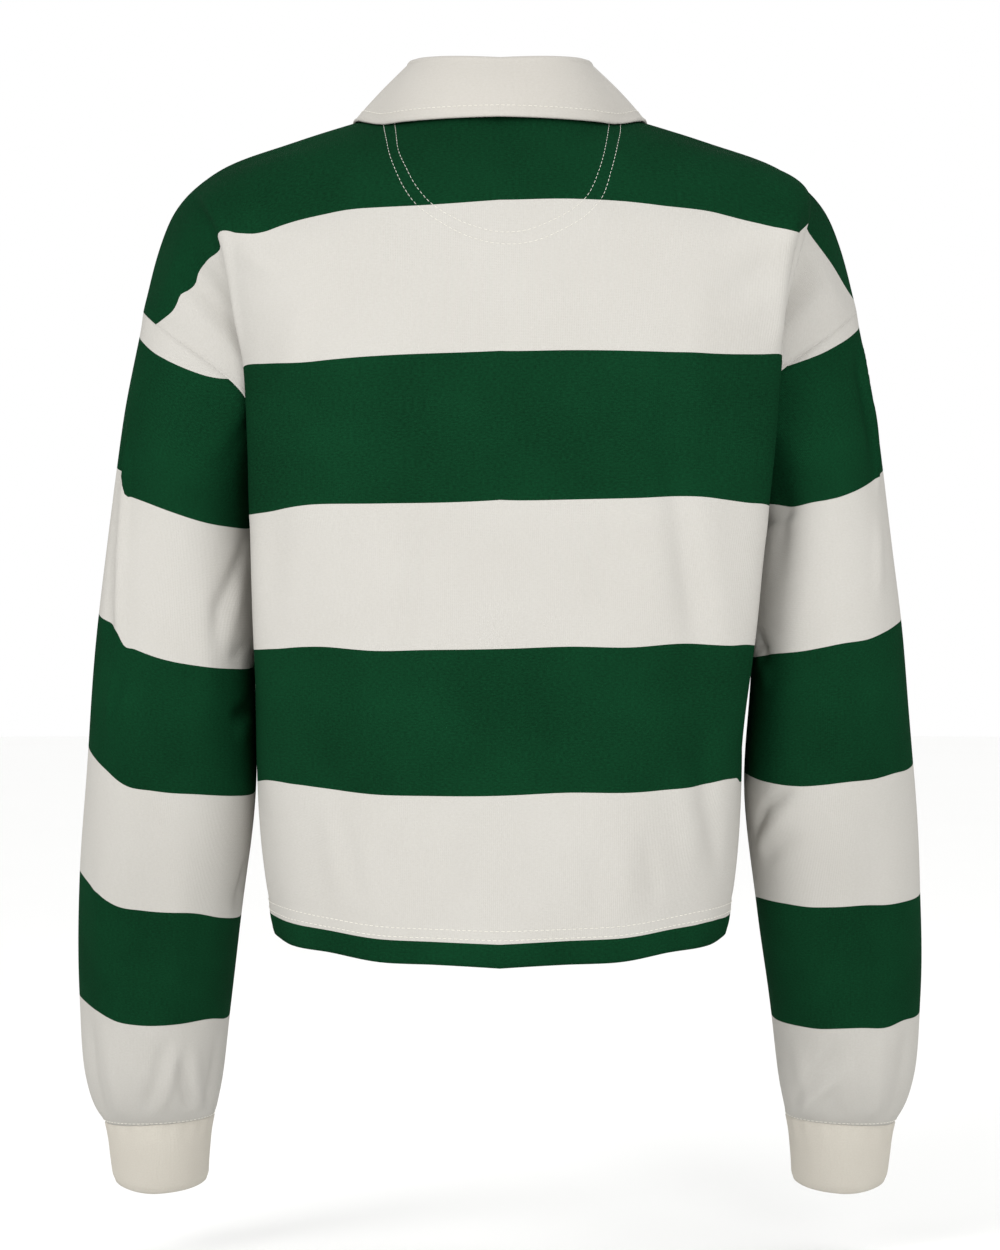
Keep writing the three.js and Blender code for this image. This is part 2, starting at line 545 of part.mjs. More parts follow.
/** Points and normals of the upper body, close enough together to rest the collar on. */
const bodySamples = [];
for (const [panel, out] of [[back, 1], [front, -1]]) {
  for (const side of [1, -1]) {
    for (let i = 0; i <= 40; i += 1) {
      for (let j = 0; j <= 24; j += 1) {
        const station = 0.6 * i / 40;
        const course = panel.topCourse(station) + 110 * j / 24;
        const point = panel.at(station, course, side);
        const along = panel.at(station + 0.01, course, side).sub(point);
        const down = panel.at(station, course + 1, side).sub(point);
        const normal = new THREE.Vector3().crossVectors(along, down).multiplyScalar(side * out).normalize();
        bodySamples.push({ point, normal });
      }
    }
  }
}

/** Rows of the collar, from the neck seam to the edge of the fall; columns go from one front end to the other. */
function collarGrid() {
  const neckStation = STATIONS.neck;
  const columns = [];
  const add = (grid, columnsOf, station, side, turn) => {
    const middle = columnsOf.length - 1;
    const column = middle + side * columnsOf.indexOf(station);
    const cloth = sewn[grid === backGrid ? 0 : 1];
    const base = grid[0][column].clone();
    if (turn === 1) base.x = side * COLLAR_FRONT_GAP;
    const down = grid[1][column].clone().sub(grid[0][column]).normalize();
    columns.push(collarProfile(base, down, cloth.normals[0][column], turn, side));
  };
  const frontNeck = FRONT_COLUMNS.filter((s) => s <= neckStation);
  const backNeck = BACK_COLUMNS.filter((s) => s < neckStation);
  frontNeck.forEach((s) => add(frontGrid, FRONT_COLUMNS, s, -1, 1 - 0.5 * s / neckStation));
  [...backNeck].reverse().forEach((s) => add(backGrid, BACK_COLUMNS, s, -1, 0.5 * s / neckStation));
  backNeck.slice(1).forEach((s) => add(backGrid, BACK_COLUMNS, s, 1, 0.5 * s / neckStation));
  [...frontNeck].reverse().forEach((s) => add(frontGrid, FRONT_COLUMNS, s, 1, 1 - 0.5 * s / neckStation));
  return columns[0].map((_, row) => columns.map((c) => c[row]));
}

/** A placket strip: the front's own points around its slit, moved out or in to lie on it. */
function placketGrid(away) {
  const last = SHOULDER_ROWS.length + BODY_ROWS.indexOf(PLACKET_END);
  const middle = FRONT_COLUMNS.length - 1;
  const reach = FRONT_COLUMNS.indexOf(PLACKET_STATION);
  const cloth = sewn[1];
  return cloth.grid.slice(1, last + 1).map((row, i) => row.slice(middle - reach, middle + reach + 1)
    .map((point, c) => point.clone().addScaledVector(cloth.normals[i + 1][middle - reach + c], away)));
}

const hemExtra = (row) => {
  const course = BODY_ROWS[row - SHOULDER_ROWS.length];
  return course >= HEM - HEM_TURN_UP ? HEM_TURN_UP_CLOTH : 0;
};
const slitReach = FRONT_COLUMNS.indexOf(SLIT_STATION);
const slitHole = (row, column) => Math.abs(column + 1.5 - FRONT_COLUMNS.length) < slitReach
  && row < SHOULDER_ROWS.length + BODY_ROWS.indexOf(SLIT_END);

const jersey = { thickness: JERSEY, material: CREAM };
const sewn = [
  new Cloth("back", backGrid, { ...jersey, extra: hemExtra }),
  new Cloth("front", frontGrid, { ...jersey, flip: true, extra: hemExtra, hole: slitHole }),
  new Cloth("sleeve_left", sleeve(1), { ...jersey, closed: true, flip: true }),
  new Cloth("sleeve_right", sleeve(-1), { ...jersey, closed: true }),
  new Cloth("cuff_left", cuffGrid(angles, 1), { thickness: CUFF_KNIT, material: CREAM, closed: true, flip: true }),
  new Cloth("cuff_right", cuffGrid(angles, -1), { thickness: CUFF_KNIT, material: CREAM, closed: true }),
];
shareSeamNormals(sewn);
sewn.forEach((cloth) => cloth.drawIn());

const collar = new Cloth("collar", collarGrid(), { thickness: COLLAR_CLOTH, material: COLLAR_TWILL });
const placketAway = JERSEY / 2 + LIE_GAP + PLACKET_CLOTH / 2;
const placket = { thickness: PLACKET_CLOTH, material: COLLAR_TWILL, flip: true };
const plackets = [
  new Cloth("placket_over", placketGrid(placketAway), placket),
  new Cloth("placket_under", placketGrid(-placketAway), placket),
];

/** A flat round button with a raised rim, on the over strip. */
function button(name, course) {
  const { radius, height, rim, dish, sides } = BUTTON;
  const outline = [[0, 0], [radius - 0.6, 0], [radius, 0.7], [radius, height - 0.5], [radius - 0.5, height],
    [radius - rim - 1, height], [radius - rim - 1.8, height - dish], [0, height - dish]];
  const geometry = new THREE.LatheGeometry(outline.map(([x, y]) => new THREE.Vector2(x, y)), sides);
  const mesh = new THREE.Mesh(geometry, BUTTON_RUBBER);
  mesh.name = name;
  const here = front.at(0, course, 1);
  const slope = front.at(0, course + 2, 1).sub(here).normalize();
  const normal = new THREE.Vector3(0, slope.z, -slope.y).normalize();
  mesh.quaternion.setFromUnitVectors(new THREE.Vector3(0, 1, 0), normal);
  mesh.position.copy(here).addScaledVector(normal, placketAway + PLACKET_CLOTH / 2 + LIE_GAP);
  return mesh;
}

const shirt = new THREE.Group();
[...sewn, collar, ...plackets].forEach((cloth) => shirt.add(cloth.mesh()));
BUTTON_COURSES.forEach((course, i) => shirt.add(button(`button_${i + 1}`, course)));
export default shirt;
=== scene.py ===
"""Dressing of the cropped rugby shirt: striped jersey, plain cuffs, collar, placket and all the stitching.

The cloth is rebuilt on the solids' own tables, finely enough for its soft folds. Tables are in millimetres,
in the frame of the solids, and meshes are in metres.
"""

import logging
import math
from dataclasses import dataclass, field
from enum import Enum
from typing import Callable, Optional, Sequence

import bmesh
import bpy
import numpy as np
from mathutils import Matrix, Vector
from mathutils.bvhtree import BVHTree


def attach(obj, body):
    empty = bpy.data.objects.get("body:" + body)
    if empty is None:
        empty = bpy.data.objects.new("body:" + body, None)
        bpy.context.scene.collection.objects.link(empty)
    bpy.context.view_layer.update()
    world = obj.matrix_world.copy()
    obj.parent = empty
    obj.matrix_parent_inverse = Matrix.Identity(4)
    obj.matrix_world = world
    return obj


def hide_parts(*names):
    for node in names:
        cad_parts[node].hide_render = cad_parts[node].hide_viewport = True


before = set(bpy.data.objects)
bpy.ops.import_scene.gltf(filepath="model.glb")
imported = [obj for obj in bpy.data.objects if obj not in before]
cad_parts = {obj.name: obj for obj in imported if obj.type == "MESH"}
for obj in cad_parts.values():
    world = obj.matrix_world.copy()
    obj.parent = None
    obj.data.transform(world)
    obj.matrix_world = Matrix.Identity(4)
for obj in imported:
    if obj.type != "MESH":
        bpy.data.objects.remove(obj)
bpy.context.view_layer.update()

LOG = logging.getLogger("rugby_shirt")
Array = np.ndarray
MM = 0.001

# Thicknesses, the gap left at a seam and the one under what lies on a panel.
JERSEY = 1.3
COLLAR_CLOTH = 1.7
CUFF_KNIT = 2.0
PLACKET_CLOTH = 1.3
SEAM_GAP = 0.12
LIE_GAP = 0.35
EDGE_BULGE = 0.42  # how far a cut edge stands out, as a share of the thickness

FIRST_STRIPE = 61.5
STRIPE = 85.5
UNDERARM = 235.0
HEM = 502.5
HEM_TURN_UP = 24.0
HEM_EXTRA = 1.1  # added inside where the hem is turned up
HEM_STITCHES = (481.3, 486.6)
SLEEVE_END_STITCHES = 525.5
COLLAR_EDGE_STITCHES = 6.3  # from the collar's edge
PLACKET_HALF = 15.0
PLACKET_FOOT = 200.0
PLACKET_BELOW_NECK = 3.5
FRAME_STEP = 0.8  # reach over which a surface's slopes are measured
MITRE_AGREEMENT = 0.2  # least agreement of two normals that are mitred at a seam
YOKE_SHARE = 0.4
CAP_HEIGHT = 90.0
CAP_POWER = 2.4
SLEEVE_ROUNDNESS = 2.15
SLEEVE_STRIPE_SHIFT = 130.0  # course of the body that the top of the sleeve's outer line matches
STATION_MM = 240.0  # cloth from the centre line to the seam, for the scale of the weave
ROUND_MM = 390.0  # cloth round the sleeve


class Side(Enum):
    """The shirt's own left and right, as the sign of x."""

    LEFT = 1
    RIGHT = -1


class Face(Enum):
    """The two body panels, as the sign of y."""

    BACK = 1
    FRONT = -1


STATIONS = {"centre": 0.0, "nape": 0.16, "neck": 0.29, "blade": 0.45, "fold": 0.655, "hollow": 0.75,
            "arm": 0.88, "seam": 1.0}
STATION_KNOTS = np.array(list(STATIONS.values()))
NECK_INDEX = list(STATIONS).index("neck")
SPREAD_SHARE = {"blade": 0.3, "fold": 1.0, "hollow": -0.2}
SPREAD_BACKWARD = 0.25
LIFT_SHARE = {"neck": 0.4, "blade": 1.0, "fold": 0.7, "hollow": 0.2}

Point = tuple[float, float, float]


@dataclass(frozen=True)
class CourseRow:
    """One course of a body panel from its centre line out: x, y and the rise above the course's level."""

    course: float
    centre: Point
    nape: Point
    neck: Point
    blade: Point
    fold: Point
    hollow: Point
    arm: Point
    seam: Point
    spread: float = 0.0
    lift: float = 0.0

    def points(self, side: Side) -> Array:
        """The row's eight points on one side.

        Args:
            side: the side; the right one takes the row's spread and lift.

        Returns:
            An array of x, y, z, with x positive on both sides.
        """
        out = []
        spread, lift = (self.spread, self.lift) if side is Side.RIGHT else (0.0, 0.0)
        for name in STATIONS:
            x, y, rise = getattr(self, name)
            out.append((
                x + spread * SPREAD_SHARE.get(name, 0.0),
                y + (spread * SPREAD_BACKWARD if name == "fold" else 0.0),
                rise + lift * LIFT_SHARE.get(name, 0.0) - self.course,
            ))
        return np.array(out, float)


@dataclass(frozen=True)
class RoundRow:
    """One course of a sleeve or cuff, through an outer and an inner point in x and z."""

    length: float
    outer: tuple[float, float]
    inner: tuple[float, float]
    middle: float
    deep: float
    pitch: float
    right_inner: float = 0.0

    def points(self, turn: Array, side: Side) -> Array:
        """Points round the row.

        Args:
            turn: angles in radians, from the outer point round by the back.
            side: the side that the sleeve is on.

        Returns:
            One point for each angle.
        """
        inner_x = self.inner[0] + (self.right_inner if side is Side.RIGHT else 0.0)
        bend = 2.0 / SLEEVE_ROUNDNESS
        out = np.sign(np.cos(turn)) * np.abs(np.cos(turn)) ** bend
        back = np.sign(np.sin(turn)) * np.abs(np.sin(turn)) ** bend * self.deep
        pitch = math.radians(self.pitch)
        x = (self.outer[0] + inner_x) / 2 + out * (self.outer[0] - inner_x) / 2
        z = (self.outer[1] + self.inner[1]) / 2 + out * (self.outer[1] - self.inner[1]) / 2
        return np.stack([side.value * x, self.middle + back * math.cos(pitch), z - back * math.sin(pitch)], -1)


@dataclass(frozen=True)
class CollarRow:
    """The collar's fold line and outer edge at a share of the way round from the centre back."""

    turn: float
    fold: Point
    edge: Point


@dataclass(frozen=True)
class StripeRow:
    """How far below the even stripes each change of colour lies, from the top down, at a place on the cloth."""

    across: float
    shifts: tuple[float, ...]


# Courses where the even stripes change colour, and how far they are drawn out of line across each piece.
STRIPE_MARGIN = 60.0  # reach of the first and last shift beyond their change of colour
BODY_CHANGES = (61.5, 147, 232.5, 318, 403.5, 489)
SLEEVE_CHANGES = (17, 102.5, 188, 273.5, 359, 444.5)
BACK_STRIPES = tuple(StripeRow(across, (first, rest, rest, rest, rest, rest * 0.3)) for across, first, rest in (
    (-240, -16, 0), (-228, -22, 0), (-215, -27, 0), (-185, -28, 0), (-170, -24, 0), (-161, -8, -2), (-154, 5, -2),
    (-144, 9, -2), (-134, 7, -1), (-124, 3, -1), (-112, -1.5, -1.5), (-80, -2.5, -2), (-42, -3.6, -2.4),
    (0, -0.4, -0.6), (60, 0, -0.6), (85, -2, -0.8), (112, -1, -0.8), (124, 3, -0.5), (134, 5, 0), (144, 4.5, 0),
    (156, 0, 0), (166, 4.6, 0), (174, 2, 0), (184, 1.5, 0), (191, 4.5, 0), (200, 4.5, 0), (207, 3, 0),
    (214, 4.5, 0), (221, 5, 0), (230, 3.5, 0),
    (240, 1, 0)))
LEFT_SLEEVE_STRIPES = (
    StripeRow(0, (-2, -8, -2, -3, -5, -3)), StripeRow(30, (-1.5, -7, -3.5, -2, -4, -3.2)),
    StripeRow(42, (-2, -6.5, -3.3, 0, -1.5, -2)), StripeRow(47, (-2.5, 2.7, -3, 1, 0, -1.5)),
    StripeRow(53, (-3, 2.7, -2.5, 2.5, 1, -1)), StripeRow(59, (-3.5, 2.4, 4, 4.5, 3, 0)),
    StripeRow(70, (-4, 2, 4, 7, 6, 2)), StripeRow(90, (-3, 1.8, 4, 5.3, 5.5, 2.3)),
    StripeRow(120, (0, 1.5, 1.5, 1, -0.5, -1)), StripeRow(150, (0, 0, 0, 0, 1.8, -3.5)),
    StripeRow(180, (0, 0, 0.5, 1, 3.4, 0)), StripeRow(230, (0, 0, 0, 0, 0, 0)), StripeRow(330, (0, 1, 2, 2, -1, -2)),
    StripeRow(390, (-2, -8, -2, -3, -5, -3)),
)
RIGHT_SLEEVE_STRIPES = (
    StripeRow(0, (-8, -5, 2.7, 8, 9, 5.7)), StripeRow(30, (-8, -6.5, -0.5, 7.5, 9.2, 5.7)),
    StripeRow(50, (-9.4, -6, -1.2, 4.5, 7.6, 4.5)), StripeRow(70, (-10.2, -6.2, -2, 2.5, 5.8, 6)),
    StripeRow(90, (-8, -8, -5.3, -1.2, 2.1, 3.7)), StripeRow(120, (-4, -17, -7.7, -4.6, -3.7, 1.6)),
    StripeRow(150, (0, -20, -9, -9.5, -9, 0)), StripeRow(180, (0, -12, -6, -12, -11, 0)),
    StripeRow(230, (0, -4, -2, -3, -3, 0)), StripeRow(330, (-3, -1, 0, 3, 4, 2)),
    StripeRow(390, (-8, -5, 2.7, 8, 9, 5.7)),
)
SHOULDER_SEAM = {"neck": (72, 0, 0.5), "blade": (124, -2, -15.2), "fold": (172.5, -4, -34.5),
                 "hollow": (189.5, -5, -49), "arm": (203, -5, -75), "seam": (213.2, -3, -116.5)}
SHOULDER_COURSE = {"neck": -26, "blade": -13, "fold": 0, "hollow": 6.5, "arm": 15.5, "seam": 50}
BACK_TOP = CourseRow(course=0, centre=(0, 50, 2), nape=(44, 37, 3), **SHOULDER_SEAM)
BACK_TOP_COURSE = {"centre": -12.5, "nape": -18, **SHOULDER_COURSE}
FRONT_TOP = CourseRow(course=0, centre=(0, -74, -56), nape=(43, -56, -38), **SHOULDER_SEAM)
FRONT_TOP_COURSE = {"centre": 44, "nape": 22, **SHOULDER_COURSE}
SLEEVE_CAP = RoundRow(length=0, outer=(222.4, -166), inner=(150, -241), middle=0, deep=46, pitch=5, right_inner=8)
SLEEVE_CAP_REACH = 0.5
BACK_YOKE = CourseRow(course=0, spread=10, lift=2, centre=(0, 71, -24), nape=(42, 66, -23), neck=(74, 46,
    -18), blade=(121, 44, -29), fold=(171, 36, -49), hollow=(184, 28, -65), arm=(199, 18, -93), seam=(210.5,
    8, -119.5))
BACK_SECTIONS = (
    CourseRow(course=61.5, spread=16, lift=4.5, centre=(0, 88, 2), nape=(42, 88, 0), neck=(79, 87, -3.4),
        blade=(122, 83, -12.2), fold=(162.5, 63, -14.7), hollow=(176, 37, -30.5), arm=(192, 32, -47.5),
        seam=(204.8, 18, -63.3)),
    CourseRow(course=105, spread=14, lift=4.5, centre=(0, 98, 0.5), nape=(42, 98, -1), neck=(78, 97, -3.5),
        blade=(118, 90, -9), fold=(155.5, 57, -10.5), hollow=(151, 39, -23), arm=(152.5, 42, -44),
        seam=(154, 43, -60)),
    CourseRow(course=147, spread=14, lift=4.5, centre=(0, 102, -0.6), nape=(41, 102, -2), neck=(76, 100,
        -3.8), blade=(114, 92, -6.7), fold=(150, 54, -6.8), hollow=(143, 41, -15), arm=(143, 38, -27),
        seam=(149.5, 34, -39)),
    CourseRow(course=190, spread=13, lift=4.5, centre=(0, 103, -0.6), nape=(40, 103, -2), neck=(75, 101,
        -3.2), blade=(111, 93, -5), fold=(147.3, 55, -7), hollow=(141.5, 40, -10), arm=(141, 29, -15),
        seam=(147.5, 18, -20)),
    CourseRow(course=235, spread=11, lift=4, centre=(0, 102, -0.6), nape=(40, 102, -2.1), neck=(74, 101,
        -2.8), blade=(109, 93, -3.2), fold=(145, 58, -7), hollow=(144, 38, -5), arm=(141, 14, -3),
        seam=(144, -2, 0)),
    CourseRow(course=241, spread=11, lift=4, centre=(0, 102, -0.6), nape=(40, 102, -2), neck=(73.5, 101,
        -2.8), blade=(108.5, 93, -3), fold=(144.5, 59, -6.5), hollow=(144, 39, -4.5), arm=(141, 15, -2),
        seam=(143, -2, 2)),
    CourseRow(course=255, spread=10, lift=3, centre=(0, 101, -0.6), nape=(39.5, 101, -1.8), neck=(73, 100,
        -2.6), blade=(107, 92, -2.4), fold=(143.8, 60, -5.5), hollow=(144, 40, -4), arm=(141, 16, -1),
        seam=(141.5, -2, 0)),
    CourseRow(course=318, spread=6, lift=1, centre=(0, 100, -0.5), nape=(39, 100, -0.9), neck=(71, 99,
        -1.7), blade=(104, 90, 0.5), fold=(141.5, 60, -0.5), hollow=(143.3, 41, -0.5), arm=(141.5, 17, 0),
        seam=(140.5, -2, 0)),
    CourseRow(course=403.5, spread=1, lift=-1, centre=(0, 101, 0.7), nape=(38, 100, 0.7), neck=(70, 98,
        1.1), blade=(101, 88, 4.3), fold=(135, 60, 8.7), hollow=(141.3, 40, 7.3), arm=(143.2, 17, 6.4),
        seam=(142.8, -2, 5.7)),
    CourseRow(course=460, spread=0, lift=0, centre=(0, 102, 1), nape=(38, 99, 1.6), neck=(69.5, 94, 3),
        blade=(99, 82, 6.5), fold=(129, 57, 11.5), hollow=(137, 37, 11.5), arm=(139.5, 15, 11.5),
        seam=(139.3, -2, 11.5)),
    CourseRow(course=502.5, spread=0, lift=0, centre=(0, 102, 1.6), nape=(37, 98, 3.4), neck=(68, 90, 4),
        blade=(97, 76, 8.3), fold=(123, 53, 11.3), hollow=(131, 33, 14.4), arm=(134.2, 13, 15.7),
        seam=(135.2, -2, 16.5)),
)
FRONT_YOKE = CourseRow(course=0, centre=(0, -80, -63), nape=(43, -71, -52), neck=(72, -46, -27), blade=(121,
    -46, -31), fold=(169, -42, -50), hollow=(184, -34, -65), arm=(198, -24, -93), seam=(210, -13, -119.5))
FRONT_SECTIONS = (
    CourseRow(course=61.5, centre=(0, -86, -9), nape=(42, -84, -8), neck=(78, -80, -9), blade=(120, -78,
        -14), fold=(160, -65, -17), hollow=(174, -45, -31), arm=(190, -39, -48), seam=(204, -24, -64)),
    CourseRow(course=105, centre=(0, -101, -3), nape=(42, -101, -3), neck=(78, -99, -4), blade=(117, -93,
        -7), fold=(153, -66, -11), hollow=(149, -48, -23), arm=(150, -48, -44), seam=(153.5, -46, -60)),
    CourseRow(course=147, centre=(0, -112, 0), nape=(41, -112, 0), neck=(76, -110, -1), blade=(112, -101,
        -3), fold=(147, -67, -7), hollow=(140, -55, -15), arm=(140, -49, -27), seam=(148.5, -39, -39)),
    CourseRow(course=190, centre=(0, -119, 1), nape=(40, -119, 1), neck=(75, -117, 0), blade=(109, -106,
        -2), fold=(144, -70, -6), hollow=(140, -53, -10), arm=(140, -37, -15), seam=(147.5, -23, -20)),
    CourseRow(course=235, centre=(0, -122, 2), nape=(40, -122, 2), neck=(73, -119, 1), blade=(106, -108, 0),
        fold=(142, -74, -2), hollow=(143, -49, -3), arm=(140.5, -20, -2), seam=(144, -2, 0)),
    CourseRow(course=241, centre=(0, -122, 2), nape=(40, -122, 2), neck=(73, -119, 1), blade=(106, -108, 0),
        fold=(141.5, -74, -2), hollow=(143, -50, -3), arm=(140.5, -21, -1), seam=(143, -2, 2)),
    CourseRow(course=255, centre=(0, -122, 2), nape=(39, -122, 2), neck=(72, -119, 1), blade=(105, -108, 1),
        fold=(140, -76, -1), hollow=(143, -50, -1), arm=(141, -22, -1), seam=(141.5, -2, 0)),
    CourseRow(course=318, centre=(0, -120, 3), nape=(39, -120, 3), neck=(71, -116, 3), blade=(103, -104, 2),
        fold=(136, -74, 1), hollow=(142, -47, 0), arm=(141, -22, 0), seam=(140.5, -2, 0)),
    CourseRow(course=403.5, centre=(0, -117, 4), nape=(38, -116, 4), neck=(70, -112, 4), blade=(100, -99,
        5), fold=(132, -68, 6), hollow=(140.5, -43, 6), arm=(143, -20, 6), seam=(142.8, -2, 5.7)),
    CourseRow(course=460, centre=(0, -115, 6), nape=(38, -113, 6), neck=(69, -107, 7), blade=(98, -92, 8),
        fold=(127, -63, 10), hollow=(136, -40, 11), arm=(139.5, -18, 11.5), seam=(139.3, -2, 11.5)),
    CourseRow(course=502.5, centre=(0, -114, 8), nape=(37, -110, 9), neck=(68, -101, 10), blade=(97, -84,
        12), fold=(122, -60, 14), hollow=(130.5, -37, 15), arm=(134.2, -17, 16), seam=(135.2, -2, 16.5)),
)
SLEEVE_SECTIONS = (
    RoundRow(length=102.5, outer=(229.7, -216), inner=(148.8, -245), middle=0, deep=46, pitch=9,
        right_inner=8),
    RoundRow(length=188, outer=(239.8, -298), inner=(147.6, -327), middle=0, deep=46, pitch=12,
        right_inner=3.5),
    RoundRow(length=273.5, outer=(247.5, -378), inner=(147.6, -402), middle=-10, deep=45, pitch=12),
    RoundRow(length=359, outer=(256.4, -458), inner=(157.8, -478), middle=-42, deep=43, pitch=6),
    RoundRow(length=444.5, outer=(260.2, -536), inner=(168.6, -546), middle=-82, deep=40, pitch=9),
    RoundRow(length=490, outer=(258, -586), inner=(175, -589), middle=-102, deep=37, pitch=9),
    RoundRow(length=514, outer=(253.2, -606), inner=(179.2, -606), middle=-112, deep=32.5, pitch=5),
    RoundRow(length=530, outer=(247.5, -617), inner=(181.2, -612.5), middle=-119, deep=28, pitch=2),
)
CUFF_SECTIONS = (
    RoundRow(length=0, outer=(247.5, -617), inner=(181.2, -612.5), middle=-119, deep=28, pitch=2),
    RoundRow(length=8, outer=(246.4, -624), inner=(183, -622), middle=-122, deep=27.5, pitch=5),
    RoundRow(length=26, outer=(245.2, -639), inner=(185, -637.5), middle=-130, deep=27, pitch=9),
    RoundRow(length=50, outer=(244.2, -660), inner=(186.8, -656), middle=-141, deep=26.5, pitch=12),
)
COLLAR_SECTIONS = (
    CollarRow(turn=0, fold=(0, 48, 28.6), edge=(0, 66, -7.2)),
    CollarRow(turn=0.25, fold=(38, 38, 30.5), edge=(55, 48, -5.4)),
    CollarRow(turn=0.38, fold=(49, 22, 31.5), edge=(74, 27, -5)),
    CollarRow(turn=0.5, fold=(53, 2, 31.5), edge=(86, 3, -0.6)),
    CollarRow(turn=0.75, fold=(46, -46, 0), edge=(86, -66, -36)),
    CollarRow(turn=0.9, fold=(24, -74, -27), edge=(70, -92, -66)),
    CollarRow(turn=1, fold=(4, -86, -39), edge=(50, -104, -88)),
)


def through(knots: Array, values: Array, x: Array) -> Array:
    """Values at x of a smooth curve through knots, whose slopes come from neighbouring chords.

    Args:
        knots: rising positions, shape (m,) or (n, m).
        values: what the curve passes through, shape (m, d) or (n, m, d).
        x: n positions.

    Returns:
        n values, shape (n, d).
    """
    x = np.asarray(x, float)
    count = len(x)
    knots = np.broadcast_to(np.asarray(knots, float), (count, np.shape(knots)[-1]))
    values = np.asarray(values, float)
    values = np.broadcast_to(values, (count, *values.shape[-2:]))
    gap = np.diff(knots, axis=1)[..., None]
    chord = np.diff(values, axis=1) / gap
    slope = np.empty_like(values)
    slope[:, 1:-1] = (chord[:, :-1] * gap[:, 1:] + chord[:, 1:] * gap[:, :-1]) / (gap[:, :-1] + gap[:, 1:])
    slope[:, 0] = chord[:, 0] + (chord[:, 0] - chord[:, 1]) * gap[:, 0] / (gap[:, 0] + gap[:, 1])
    slope[:, -1] = chord[:, -1] + (chord[:, -1] - chord[:, -2]) * gap[:, -1] / (gap[:, -1] + gap[:, -2])
    k = np.clip((x[:, None] > knots[:, 1:-1]).sum(1), 0, knots.shape[1] - 2)
    row = np.arange(count)
    step = gap[row, k]
    t = ((x - knots[row, k])[:, None]) / step
    t2, t3 = t * t, t * t * t
    return (2 * t3 - 3 * t2 + 1) * values[row, k] + (t3 - 2 * t2 + t) * step * slope[row, k] \
        + (3 * t2 - 2 * t3) * values[row, k + 1] + (t3 - t2) * step * slope[row, k + 1]


def cornered(values: Array, station: Array) -> Array:
    """A top edge's curve, which has a corner at the neck.

    Args:
        values: one vector for each station name.
        station: positions from 0 to 1.

    Returns:
        One vector for each position.
    """
    first = through(STATION_KNOTS[:NECK_INDEX + 1], values[:NECK_INDEX + 1], station)
    second = through(STATION_KNOTS[NECK_INDEX:], values[NECK_INDEX:], station)
    return np.where((station > STATIONS["neck"])[:, None], second, first)


def unit(vectors: Array) -> Array:
    """Vectors at length one."""
    return vectors / np.maximum(np.linalg.norm(vectors, axis=-1, keepdims=True), 1e-12)


@dataclass(frozen=True)
class Fold:
    """A soft ridge (positive height) or trough (negative) along a line on the cloth, all in millimetres."""

    height: float
    width: float
    line: tuple[tuple[float, float], ...]
    taper: float = 0.35

    def relief(self, u: Array, v: Array, around: float = 0.0) -> Array:
        """Height of the fold at places on the cloth.

        Args:
            u: places across the cloth.
            v: places along it.
            around: length round a tube, over which u repeats; 0 for a flat piece.

        Returns:
            Heights, which fade towards both ends of the line.
        """
        points = np.array(self.line, float)
        lengths = np.linalg.norm(np.diff(points, axis=0), axis=1)
        starts = np.concatenate([[0.0], np.cumsum(lengths)])
        best = np.full(u.shape, 1e9)
        along = np.zeros(u.shape)
        for shift in ((-around, 0.0, around) if around else (0.0,)):
            for k, length in enumerate(lengths):
                step = points[k + 1] - points[k]
                du, dv = u + shift - points[k, 0], v - points[k, 1]
                t = np.clip((du * step[0] + dv * step[1]) / (length * length), 0, 1)
                gap = np.hypot(du - t * step[0], dv - t * step[1])
                nearer = gap < best
                best = np.where(nearer, gap, best)
                along = np.where(nearer, (starts[k] + t * length) / starts[-1], along)
        fade = np.clip(np.minimum(along, 1 - along) / max(self.taper, 1e-3), 0, 1)
        fade = fade * fade * (3 - 2 * fade)
        return self.height * fade * np.exp(-(best / self.width) ** 2)


def unevenness(u: Array, v: Array, seed: int, height: float, longest: float) -> Array:
    """Gentle waves in the cloth, the same on every run.

    Args:
        u: places across the cloth, in millimetres.
        v: places along it.
        seed: picks the waves.
        height: about how high they are.
        longest: the longest wave.

    Returns:
        Heights.
    """
    rng = np.random.default_rng(seed)
    total = np.zeros(u.shape)
    for _ in range(9):
        length = longest * rng.uniform(0.35, 1.0)
        angle = rng.uniform(-0.9, 0.9)
        phase = rng.uniform(0, 2 * math.pi)
        total += np.sin(2 * math.pi * (u * math.cos(angle) + v * math.sin(angle)) / length + phase) * length / longest
    return total * height / 3


